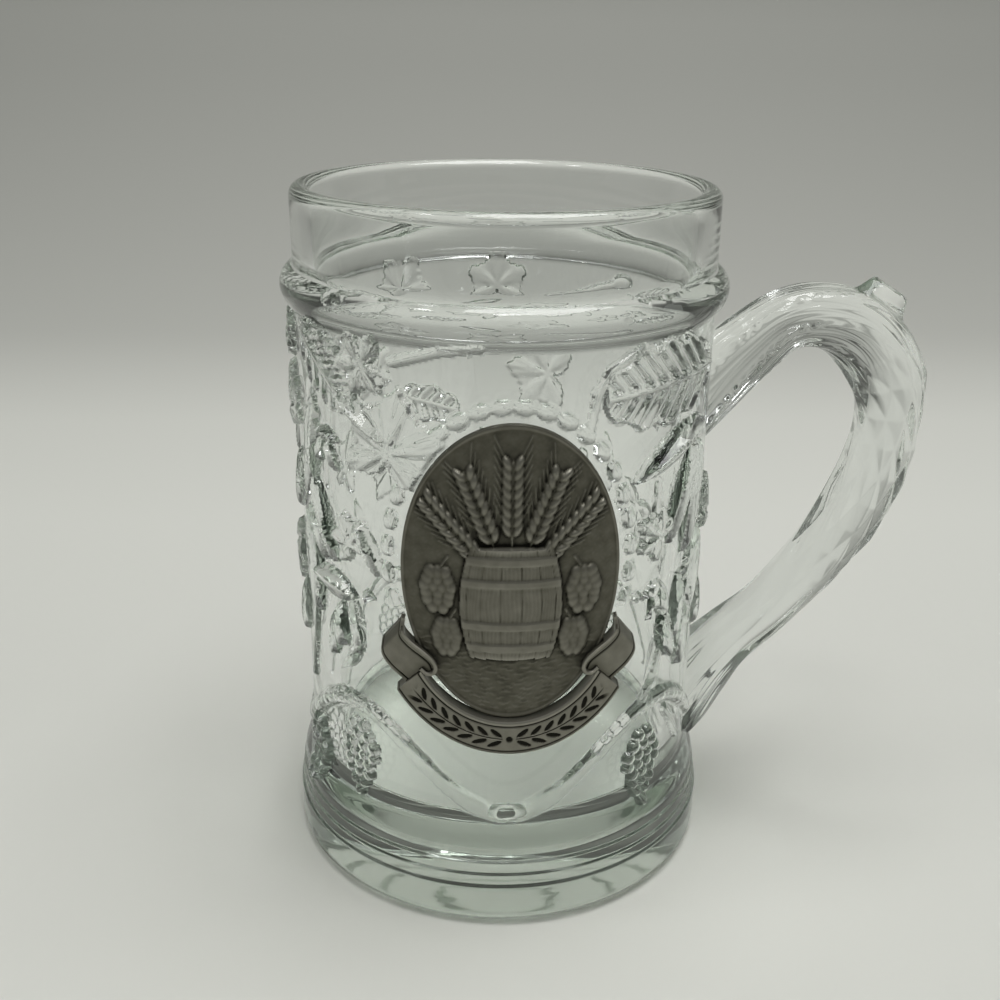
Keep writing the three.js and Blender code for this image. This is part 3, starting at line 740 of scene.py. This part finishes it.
def disc_grid(count, half_width, half_height):
    """A square grid bent into an oval, as coordinates across and up from its middle."""
    line = np.linspace(-1, 1, count)
    u, v = np.meshgrid(line, line)
    return half_width * u * np.sqrt(1 - v**2 / 2), half_height * v * np.sqrt(1 - u**2 / 2)


# Barrel on the plaque: its hoops lie at these distances from its middle, on both sides
BARREL_HALF_LENGTH = 11.0
BARREL_HALF_WIDTH = 7.4
BARREL_BULGE = 1.9
BARREL_DROP = 5.0
BARREL_HOOPS = (4.2, 8.6)
HOOP_HALF_WIDTH = 0.95
STAVE_ANGLE = 0.42

# Ears of barley: foot and turn of each, and sizes of all
EARS = [((-3.5, 1), -42), ((3.5, 1), 42), ((-2, 3), -21), ((2, 3), 21), ((0, 4), 0)]
EAR_LENGTH = 18.0
EAR_GRAINS = 8
GRAIN_START = 5.5
GRAIN_PITCH = 1.75
GRAIN_OFFSET = 1.0
GRAIN_LENGTH = 3.3
GRAIN_WIDTH = 1.6
GRAIN_LEAN = 24
AWN_LENGTH = 5.5

# Hop cones on the right: middle, length and width of each, and the scales in the rows of all
HOPS = [((13.2, -3.0), 8.5, 6.0), ((11.6, -12.4), 6.5, 4.8)]
HOP_ROWS = [3, 3, 4, 3, 3, 2]
HOP_SCALE_LENGTH = 3.2
HOP_SCALE_WIDTH = 2.5

# Ground below the barrel: the height of its edge from the plaque's middle
GROUND_EDGE = -12.5


def ahead(start, degrees, distance):
    """The point at a distance from another one, in a direction turned clockwise from upright."""
    turn = math.radians(degrees)
    return start[0] + distance * math.sin(turn), start[1] + distance * math.cos(turn)


def line_ridge(x, y, start, end, width):
    """1 on a straight line between two points, falling to 0 at half its width."""
    (ax, ay), (bx, by) = start, end
    length = math.hypot(bx - ax, by - ay)
    along = np.clip(((x - ax) * (bx - ax) + (y - ay) * (by - ay)) / length**2, 0, 1)
    gap = np.hypot(x - ax - along * (bx - ax), y - ay - along * (by - ay))
    return smooth(1 - gap / (width / 2))


def grain(x, y, centre, length, width, degrees):
    """An egg-shaped swelling that is 1 high in its middle."""
    across, along = turned(x - centre[0], y - centre[1], degrees)
    return np.sqrt(np.maximum(1 - (2 * along / length) ** 2 - (2 * across / width) ** 2, 0))


def barrel_height(x, y):
    """A barrel with staves, hoops and the grain of its wood."""
    y = y + BARREL_DROP
    share = np.clip(np.abs(y) / BARREL_HALF_LENGTH, 0, 1)
    half = BARREL_HALF_WIDTH + BARREL_BULGE * (1 - share**2)
    swell = np.sqrt(np.maximum(1 - (x / half) ** 2, 0))
    stave = np.arcsin(np.clip(x / half, -1, 1)) / STAVE_ANGLE
    seam = smooth(1 - np.abs(stave - np.round(stave - 0.5) - 0.5) / 0.08)
    hoop = sum(smooth((HOOP_HALF_WIDTH - np.abs(np.abs(y) - place)) / 0.25) for place in BARREL_HOOPS)
    wood = 0.16 * seam + 0.035 * np.sin(31 * stave + 1.2 * np.sin(0.8 * y + 5 * np.round(stave)))
    height = 0.5 + 0.9 * swell - wood * (1 - np.clip(hoop, 0, 1)) + 0.22 * hoop
    return np.where((np.abs(y) < BARREL_HALF_LENGTH) & (np.abs(x) < half), height, 0)


def ear_height(x, y, foot, degrees):
    """An ear of barley with two rows of grains, its stalk and its awns."""
    height = 0.45 * line_ridge(x, y, foot, ahead(foot, degrees, EAR_LENGTH), 0.9)
    for i in range(EAR_GRAINS):
        middle = ahead(foot, degrees, GRAIN_START + GRAIN_PITCH * i)
        for side in (-1, 1):
            lean = degrees + side * GRAIN_LEAN
            centre = ahead(middle, degrees + 90, side * GRAIN_OFFSET)
            awn = line_ridge(x, y, centre, ahead(centre, lean, AWN_LENGTH), 0.55)
            height = np.maximum(height, 0.28 * awn)
            height = np.maximum(height, 0.95 * grain(x, y, centre, GRAIN_LENGTH, GRAIN_WIDTH, lean))
    return height


def hop_height(x, y, centre, length, width):
    """A hop cone of overlapping scales that hangs from its stalk."""
    across, along = x - centre[0], y - centre[1]
    height = 0.3 * grain(x, y, centre, length, width, 0)
    for row, count in enumerate(HOP_ROWS):
        drop = length * (0.38 - row * 0.155)
        half = width / 2 * math.sqrt(max(1 - (2 * drop / length) ** 2, 0.12))
        for i in range(count):
            offset = (i - (count - 1) / 2) * 2 * half / count
            scale = grain(across, along, (offset, drop), HOP_SCALE_LENGTH, HOP_SCALE_WIDTH, 0)
            height = np.maximum(height, (0.75 + 0.04 * row) * scale)
    top = centre[1] + length / 2
    stalk = line_ridge(x, y, (centre[0], top - 0.5), (centre[0] * 0.86, top + 2.4), 0.8)
    return np.maximum(height, 0.4 * stalk)


def backdrop_height(x, y):
    """Strokes of grass on the ground, and a stippled field above it."""
    edge = GROUND_EDGE + 0.8 * np.sin(0.35 * x + 1)
    strokes = np.sin(6.1 * y + 1.6 * np.sin(0.9 * x + 0.6 * y) + 0.8 * np.sin(2.3 * x - 1.1 * y))
    strokes *= 0.5 + 0.5 * np.sin(1.7 * x + 3.1 * np.sin(1.3 * y))
    ground = 0.14 * smooth(1.4 * strokes) * (y < edge) + 0.06 * smooth((edge - y) / 0.3)
    stipple = np.sin(4.1 * x + 1.3 * np.sin(2.3 * y)) * np.sin(4.3 * y + 1.1 * np.sin(2.7 * x))
    return ground + 0.035 * stipple * (y >= edge)


def plaque_height(x, y):
    """Relief of the picture: a barrel, ears of barley, hop cones and the ground."""
    height = backdrop_height(x, y)
    for foot, degrees in EARS:
        height = np.maximum(height, ear_height(x, y, foot, degrees))
    for (across, up), length, width in HOPS:
        for side in (-1, 1):
            height = np.maximum(height, hop_height(x, y, (side * across, up), length, width))
    barrel = barrel_height(x, y)
    return np.where(barrel > 0, np.maximum(barrel, 0.3), height)


def on_wall(x, radius, up):
    """Points at a place across the front, on a cylinder of the given radius."""
    return round_wall(np.arcsin(np.clip(x / radius, -1, 1)), radius, up)


def keep_wear_and_painted_light(piece, worn):
    """Stores how rubbed each vertex is, from 0 in a recess to 1 on a high spot; on the ribbon it also holds a
    painted highlight along the band's upper edge and painted shade near the tails' folds.
    """
    layer = piece.data.attributes.new("wear_and_painted_light", "FLOAT", "POINT")
    layer.data.foreach_set("value", np.clip(worn, 0, 1).astype(np.float32))


def blurred(field, passes):
    """A grid of values, each mixed with its four neighbours a number of times."""
    for _ in range(passes):
        wide = np.pad(field, 1, mode="edge")
        beside = wide[:-2, 1:-1] + wide[2:, 1:-1] + wide[1:-1, :-2] + wide[1:-1, 2:]
        field = (beside + 2 * field) / 6
    return field


PLAQUE_GRID = 190


def make_plaque():
    """The oval plaque with its rim and picture, bent to the wall."""
    x, y = disc_grid(PLAQUE_GRID, PLAQUE_HALF_WIDTH, PLAQUE_HALF_HEIGHT)
    share = np.hypot(x / PLAQUE_HALF_WIDTH, y / PLAQUE_HALF_HEIGHT)
    inset = (1 - share) * PLAQUE_HALF_WIDTH
    rim = smooth((PLAQUE_RIM_WIDTH - inset) / 0.35) * (1 - 0.5 * smooth((0.35 - inset) / 0.35))
    picture = plaque_height(x, y) * smooth((inset - PLAQUE_RIM_WIDTH) / 0.4)
    height = np.maximum(picture, PLAQUE_RIM_HEIGHT * rim)
    front = on_wall(x, PLAQUE_FIELD + height, PLAQUE_CENTRE + y)
    back = on_wall(x, np.full_like(x, PLAQUE_BACK), PLAQUE_CENTRE + y)
    piece = slab("pewter_plaque", front, back)
    worn = 0.34 + 0.9 * (height - blurred(height, 14)) + 0.14 * height + 0.15 * rim
    keep_wear_and_painted_light(piece, np.concatenate([worn.ravel(), np.full(worn.size, 0.3)]))
    return piece


# Laurel on the ribbon: its first pair of leaves starts at a distance from the middle
LAUREL_START = 2.6
LAUREL_PITCH = 2.7
LAUREL_OFFSET = 1.15
LAUREL_LENGTH = 2.9
LAUREL_WIDTH = 0.95
LAUREL_SLANT = 58


def laurel(run, middle):
    """Engraved laurel: slanting pairs of leaves that point away from a middle berry."""
    place = np.abs(run) - LAUREL_START
    cell = place - LAUREL_PITCH * np.round(place / LAUREL_PITCH)
    upper = grain(cell, middle, (0, LAUREL_OFFSET), LAUREL_LENGTH, LAUREL_WIDTH, LAUREL_SLANT)
    lower = grain(cell, middle, (0, -LAUREL_OFFSET), LAUREL_LENGTH, LAUREL_WIDTH, 180 - LAUREL_SLANT)
    leaves = np.maximum(upper, lower)
    stalk = smooth(1 - np.abs(middle) / 0.2)
    berry = smooth((0.75 - np.hypot(run, middle)) / 0.3)
    return np.maximum(np.maximum(smooth(1.6 * leaves), stalk) * smooth((place + 1.5) / 0.4), berry)


def edge_lines(gap_top, gap_low):
    """Engraved lines beside the upper and the lower edge, for distances from those edges."""
    return smooth(1 - np.abs(gap_top - 1.0) / 0.24) + smooth(1 - np.abs(gap_low - 0.6) / 0.24)


def plate(name, x, up, front, wear_and_painted_light):
    """A curved plate from the ribbon's back to a front surface, with its wear and painted light."""
    back = on_wall(x, np.full_like(x, PLAQUE_BACK + 0.1), up)
    piece = slab(name, on_wall(x, front, up), back)
    keep_wear_and_painted_light(piece, np.concatenate([wear_and_painted_light.ravel(), np.full(wear_and_painted_light.size, 0.2)]))
    return piece


# The band's ends slant by this angle, and its edges are rounded off over this width
BAND_SLANT = math.radians(2.5)
BEVEL_WIDTH = 0.3


def make_band():
    """The curved middle of the ribbon, engraved with two lines and the laurel."""
    across = np.linspace(0, RIBBON_WIDTH, 48)[:, None]
    half = RIBBON_HALF_ANGLE + BAND_SLANT * (1 - 2 * across / RIBBON_WIDTH)
    turn = half * np.linspace(-1, 1, 300)[None, :]
    radius = RIBBON_RADIUS - RIBBON_WIDTH + across
    run = turn * (RIBBON_RADIUS - RIBBON_WIDTH / 2)
    ornament = laurel(run, across - RIBBON_WIDTH / 2 - 0.2) * smooth((half - np.abs(turn)) * 8 - 0.4)
    lines = edge_lines(across, RIBBON_WIDTH - across) + 0 * turn
    bevel = smooth(1 - np.minimum(across, RIBBON_WIDTH - across) / BEVEL_WIDTH) + 0 * turn
    height = -0.24 * np.maximum(lines, ornament) - 0.2 * bevel
    # Painted highlight: the band is lighter along its upper edge; the engraving is darker patina.
    wear_and_painted_light = 0.62 - 0.75 * np.maximum(lines, ornament) + 0.2 * smooth((0.9 - across) / 0.2)
    x, up = radius * np.sin(turn), RIBBON_CENTRE - radius * np.cos(turn)
    return plate("pewter_ribbon", x, up, RIBBON_FRONT + height, wear_and_painted_light)


# A tail on the right: points across and up on its upper edge, from its top round the fold to the band's
# corner, and on its lower edge, from behind the band to its outer end
TAIL_TOP_EDGE = [(19.6, 66.6), (19.8, 64.2), (18.5, 62.5), (15.9, 60.7), (14.2, 59.2), (13.7, 57.8)]
TAIL_FOLD = [(14.2, 56.7), (15.4, 56.4), (16.5, 57.2)]
TAIL_LOW_EDGE = [(18.6, 53.2), (20.3, 54.6), (22.4, 56.4), (23.6, 58.0), (23.9, 59.4), (23.7, 60.8)]
TAIL_WIDTH = 7
TAIL_COLUMNS = 60
EDGE_COLUMNS = 90


def make_tail(side):
    """A folded tail of the ribbon, which dips behind the band and at its outer end."""
    top = spline(TAIL_TOP_EDGE[::-1], TAIL_COLUMNS).T
    low = spline(TAIL_LOW_EDGE, TAIL_COLUMNS).T
    across = np.linspace(0, 1, 44)[:, None]
    along = np.linspace(0, 1, TAIL_COLUMNS)[None, :]
    x, up = ((1 - across) * top[i] + across * low[i] for i in range(2))
    lines = edge_lines(across * TAIL_WIDTH, (1 - across) * TAIL_WIDTH) + 0 * along
    dip = 0.5 * smooth(1 - along / 0.5) + 1.4 * smooth((along - 0.8) / 0.2) ** 1.5
    height = -0.25 - dip - 0.22 * lines
    # Painted shade: the tail is darker near its fold behind the band; the engraved lines are darker patina.
    wear_and_painted_light = 0.58 - 0.7 * lines - 0.25 * smooth(1 - along / 0.4)
    return plate("tail_part", side * x, up, RIBBON_FRONT + height, wear_and_painted_light)


def make_tail_edge(side):
    """The thick upper edge of a tail, which curls round the fold."""
    line = spline(TAIL_TOP_EDGE + TAIL_FOLD, EDGE_COLUMNS)
    heading = np.gradient(line, axis=0)
    heading /= np.linalg.norm(heading, axis=1)[:, None]
    offset = np.array([-0.38, -0.22, 0.22, 0.38])[None, :]
    x = line[:, :1] - heading[:, 1:] * offset
    up = line[:, 1:] + heading[:, :1] * offset
    fall = 0.9 * smooth(1 - np.linspace(0, 1, EDGE_COLUMNS) / 0.2)[:, None]
    height = -0.05 - 0.15 * (np.abs(offset) > 0.3) - fall
    return plate("edge_part", side * x, up, RIBBON_FRONT + height, np.full(x.shape, 0.75))


# Free room between the ribbon and the plaque under it
RIBBON_ROOM = 0.2


def make_ribbon():
    """The band and both tails as one piece, cut free of the plaque."""
    ribbon = make_band()
    for side in (-1, 1):
        combine(ribbon, make_tail(side), "UNION")
        combine(ribbon, make_tail_edge(side), "UNION")
    x, y = disc_grid(60, PLAQUE_HALF_WIDTH + RIBBON_ROOM, PLAQUE_HALF_HEIGHT + RIBBON_ROOM)
    front = on_wall(x, np.full_like(x, PLAQUE_FIELD + PLAQUE_RIM_HEIGHT + RIBBON_ROOM), PLAQUE_CENTRE + y)
    back = on_wall(x, np.full_like(x, PLAQUE_BACK - 1), PLAQUE_CENTRE + y)
    combine(ribbon, slab("room_part", front, back), "DIFFERENCE")
    return ribbon


def set_stops(ramp, stops):
    """Gives a colour ramp its stops of position and colour."""
    elements = ramp.color_ramp.elements
    elements.remove(elements[1])
    elements[0].position, elements[0].color = stops[0]
    for place, colour in stops[1:]:
        elements.new(place).color = colour


class Nodes:
    """A material's node tree, with short calls to add and wire nodes."""

    def __init__(self, name):
        self.material = bpy.data.materials.new(name)
        self.material.use_nodes = True
        self.tree = self.material.node_tree
        self.tree.nodes.clear()
        self.output = self.add("ShaderNodeOutputMaterial")
        self.shader = self.add("ShaderNodeBsdfPrincipled")
        self.wire(self.shader, "BSDF", self.output, "Surface")

    def add(self, kind, **settings):
        node = self.tree.nodes.new(kind)
        for key, value in settings.items():
            if key in node.inputs:
                node.inputs[key].default_value = value
            else:
                setattr(node, key, value)
        return node

    def wire(self, source, output, target, socket):
        self.tree.links.new(source.outputs[output], target.inputs[socket])

    def put(self, **values):
        """Sets values of the surface, named with underscores for spaces."""
        for key, value in values.items():
            self.shader.inputs[key.replace("_", " ")].default_value = value

    def noise(self, scale, detail):
        """A cloudy pattern in the piece's own coordinates."""
        place = self.add("ShaderNodeTexCoord")
        node = self.add("ShaderNodeTexNoise", Scale=scale, Detail=detail)
        self.wire(place, "Object", node, "Vector")
        return node

    def place(self):
        """The place on the piece, split into X, Y and Z in metres."""
        whole = self.add("ShaderNodeTexCoord")
        split = self.add("ShaderNodeSeparateXYZ")
        self.wire(whole, "Object", split, "Vector")
        return split

    def spread(self, source, output, low, high, to_low, to_high):
        """Maps a value from one range to another and holds it at the ends."""
        node = self.add("ShaderNodeMapRange")
        for socket, value in zip(("From Min", "From Max", "To Min", "To Max"), (low, high, to_low, to_high)):
            node.inputs[socket].default_value = value
        self.wire(source, output, node, "Value")
        return node

    def colour(self, source, output, stops):
        """Colours the surface by a value, with stops of position and colour."""
        node = self.add("ShaderNodeValToRGB")
        set_stops(node, stops)
        self.wire(source, output, node, "Fac")
        self.wire(node, "Color", self.shader, "Base Color")

    def sum(self, sources):
        """Adds the first outputs of some nodes."""
        total = sources[0]
        for source in sources[1:]:
            node = self.add("ShaderNodeMath", operation="ADD")
            self.wire(total, 0, node, 0)
            self.wire(source, 0, node, 1)
            total = node
        return total

    def bump(self, source, output, strength, distance):
        """Roughens the surface by a pattern."""
        node = self.add("ShaderNodeBump", Strength=strength, Distance=distance)
        self.wire(source, output, node, "Height")
        self.wire(node, "Normal", self.shader, "Normal")


def glass_material():
    """Clear glass with a green tint in its depth, a worn underside and a thin film in places."""
    nodes = Nodes("clear_pressed_glass")
    nodes.put(Base_Color=(0.985, 0.995, 0.99, 1), IOR=1.51, Transmission_Weight=1.0)
    worn = nodes.spread(nodes.place(), "Z", 0.0001, 0.0012, 0.015, 0.0)
    film = nodes.spread(nodes.noise(60, 3), "Fac", 0.35, 0.75, 0.0, 0.02)
    nodes.wire(nodes.sum((worn, film)), "Value", nodes.shader, "Roughness")
    nodes.bump(nodes.noise(140, 2), "Fac", 0.05, 0.0002)
    tint = nodes.add("ShaderNodeVolumeAbsorption", Color=(0.4, 0.51, 0.4, 1), Density=7.0)
    nodes.wire(tint, "Volume", nodes.output, "Volume")
    return nodes.material


def pewter_material():
    """Cast pewter, dark in the recesses and rubbed bright where the wear is high, with the ribbon's painted
    highlight and painted shade carried in the same values.
    """
    nodes = Nodes("antiqued_pewter")
    wear_and_painted_light = nodes.add("ShaderNodeAttribute", attribute_name="wear_and_painted_light")
    cloud = nodes.noise(420, 6)
    mixed = nodes.add("ShaderNodeMath", operation="MULTIPLY_ADD")
    nodes.wire(cloud, "Fac", mixed, 0)
    mixed.inputs[1].default_value = 0.35
    nodes.wire(wear_and_painted_light, "Fac", mixed, 2)
    stops = [(0.22, (0.02, 0.019, 0.014, 1)), (0.5, (0.135, 0.13, 0.102, 1)), (1.0, (0.3, 0.29, 0.25, 1))]
    nodes.colour(mixed, "Value", stops)
    nodes.put(Metallic=0.85)
    rough = nodes.spread(mixed, "Value", 0.2, 1.0, 0.68, 0.36)
    nodes.wire(rough, "Result", nodes.shader, "Roughness")
    nodes.bump(nodes.noise(1500, 5), "Fac", 0.25, 0.00012)
    return nodes.material


def adhesive_material():
    """Pale, cloudy adhesive."""
    nodes = Nodes("cured_adhesive")
    cloud = nodes.noise(180, 4)
    nodes.colour(cloud, "Fac", [(0.0, (0.5, 0.49, 0.44, 1)), (1.0, (0.72, 0.71, 0.66, 1))])
    nodes.put(Roughness=0.55)
    nodes.bump(cloud, "Fac", 0.3, 0.0002)
    return nodes.material


def dress(piece, material):
    """Gives a piece one material."""
    piece.data.materials.clear()
    piece.data.materials.append(material)


# Sheet under the mug: where it starts to bend up behind it, the radius of the bend, and its extent
SHEET_BACK = 420
SHEET_BEND = 500
SHEET_REACH = 2600
SHEET_TOP = 2400
SHEET_DROP = 0.25


def make_floor():
    """A sheet that runs flat under the mug and curves up far behind it."""
    profile = [(y, 0.0) for y in (-SHEET_REACH, -600, -200, 0, 200, SHEET_BACK)]
    for angle in np.radians(np.linspace(5, 90, 18)):
        profile.append((SHEET_BACK + SHEET_BEND * math.sin(angle), SHEET_BEND * (1 - math.cos(angle))))
    profile.append((SHEET_BACK + SHEET_BEND, SHEET_TOP))
    profile = np.array(profile)
    across = np.linspace(-SHEET_REACH, SHEET_REACH, 9)
    x, y = np.meshgrid(across, profile[:, 0])
    z = np.repeat(profile[:, 1:], len(across), axis=1) - SHEET_DROP
    points = np.stack([x, y, z], -1).reshape(-1, 3) * MM
    mesh = bpy.data.meshes.new("sheet")
    mesh.from_pydata(points.tolist(), [], grid_quads(*x.shape).tolist())
    floor = link("paper_sheet", mesh)
    mesh.shade_smooth()
    dress(floor, paper_material())


# Painted light on the sheet: tones from pale round the mug, a little lighter just behind it as a painted pool
# of light, to dark far away as painted falloff
PAINTED_FALLOFF_TONES = [
    (0.0, 0.655), (0.065, 0.7), (0.13, 0.69), (0.22, 0.55),
    (0.4, 0.43), (0.45, 0.43), (1.0, 0.15),
]


def paper_material():
    """Pale paper with painted light: it darkens behind the mug, high up, far to the sides and near the viewer
    as painted falloff, with a painted pool of light just behind the mug.
    """
    nodes = Nodes("paper_with_painted_falloff")
    split = nodes.place()
    far = nodes.spread(split, "Y", 0.05, 0.85, 0.0, 0.45)
    high = nodes.spread(split, "Z", 0.14, 0.65, 0.0, 0.55)
    near = nodes.spread(split, "Y", -0.46, -0.24, 0.85, 0.0)
    outward = nodes.add("ShaderNodeMath", operation="ABSOLUTE")
    nodes.wire(split, "X", outward, 0)
    aside = nodes.spread(outward, "Value", 0.5, 0.85, 0.0, 0.85)
    # Painted falloff and pool of light: these distances pick the sheet's tone.
    total = nodes.sum((far, high, near, aside))
    stops = [(share, (tone, 1.008 * tone, 0.94 * tone, 1)) for share, tone in PAINTED_FALLOFF_TONES]
    nodes.colour(total, 0, stops)
    nodes.put(Roughness=0.9)
    nodes.bump(nodes.noise(900, 3), "Fac", 0.04, 0.0002)
    return nodes.material


# Colours of the room by height, from eye level up
SKY = [(0.0, (0.14, 0.145, 0.135, 1)), (0.35, (0.12, 0.125, 0.115, 1)), (0.75, (0.5, 0.505, 0.49, 1))]


def make_world():
    """Soft light from above, fading to a dim room at eye level."""
    world = bpy.data.worlds.new("room")
    bpy.context.scene.world = world
    world.use_nodes = True
    tree = world.node_tree
    place = tree.nodes.new("ShaderNodeTexCoord")
    split = tree.nodes.new("ShaderNodeSeparateXYZ")
    tree.links.new(place.outputs["Generated"], split.inputs["Vector"])
    ramp = tree.nodes.new("ShaderNodeValToRGB")
    set_stops(ramp, SKY)
    tree.links.new(split.outputs["Z"], ramp.inputs["Fac"])
    tree.links.new(ramp.outputs["Color"], tree.nodes["Background"].inputs["Color"])


# Lamps: name, place, aim, size in metres and power in watts
LAMPS = [
    ("top_softbox", (150, -60, 1100), (0, 0, 60), (0.65, 0.65), 7.6),
    ("sparkle_front", (0, -240, 640), (0, 0, 80), (0.1, 0.04), 0.2),
    ("sparkle_left", (-290, -90, 700), (0, 0, 80), (0.08, 0.06), 0.2),
]


def add_lamp(name, place, aim, size, power):
    """A rectangular lamp that shines from its place towards its aim."""
    lamp = bpy.data.lights.new(name, "AREA")
    lamp.shape = "RECTANGLE"
    lamp.size, lamp.size_y = size
    lamp.energy = power
    holder = link(name, lamp)
    holder.location = Vector(place) * MM
    holder.rotation_euler = (Vector(aim) - Vector(place)).to_track_quat("-Z", "Y").to_euler()


# The photograph's camera, worked out from the rim, foot and medallion in it
CAMERA_DISTANCE = 234.87
CAMERA_HEIGHT = 168.79
CAMERA_AZIMUTH = -2.5
CAMERA_PITCH = 22.012
CAMERA_ROLL = 0.693
CAMERA_YAW = 0.091
CAMERA_LENS = 42.79
SENSOR_WIDTH = 36


def make_camera():
    """Sets the camera at its place, turned towards the mug."""
    camera = link("camera", bpy.data.cameras.new("camera"))
    camera.data.sensor_width = SENSOR_WIDTH
    camera.data.lens = CAMERA_LENS
    camera.data.clip_start = 0.01
    azimuth = math.radians(CAMERA_AZIMUTH)
    heading = Matrix.Rotation(azimuth + math.radians(CAMERA_YAW), 4, "Z")
    tilt = Matrix.Rotation(math.radians(90 - CAMERA_PITCH), 4, "X")
    roll = Matrix.Rotation(math.radians(CAMERA_ROLL), 4, "Z")
    place = Vector((math.sin(azimuth), -math.cos(azimuth), 0)) * CAMERA_DISTANCE
    place.z = CAMERA_HEIGHT
    camera.matrix_world = Matrix.Translation(place * MM) @ heading @ tilt @ roll
    bpy.context.scene.camera = camera


carve_relief()
clear_medallion()
mug = make_body()
combine(mug, make_handle(), "UNION")
shade(mug, 40)
dress(mug, glass_material())
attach(mug, "root")
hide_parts("glass_body", "handle")

pewter = pewter_material()
plaque = make_plaque()
shade(plaque, 50)
dress(plaque, pewter)
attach(plaque, "root")
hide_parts("medallion_plaque")

ribbon = make_ribbon()
shade(ribbon, 40)
dress(ribbon, pewter)
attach(ribbon, "root")
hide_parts("medallion_ribbon")

dress(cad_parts["adhesive_pad"], adhesive_material())

make_floor()
make_world()
for lamp in LAMPS:
    add_lamp(*lamp)
make_camera()

bpy.context.scene.view_settings.view_transform = "Standard"

# Light passes many walls of glass, so it may bounce often
cycles = bpy.context.scene.cycles
cycles.max_bounces = 32
cycles.transmission_bounces = 32
cycles.glossy_bounces = 13
cycles.diffuse_bounces = 4
cycles.use_denoising = True
cycles.blur_glossy = 0.0
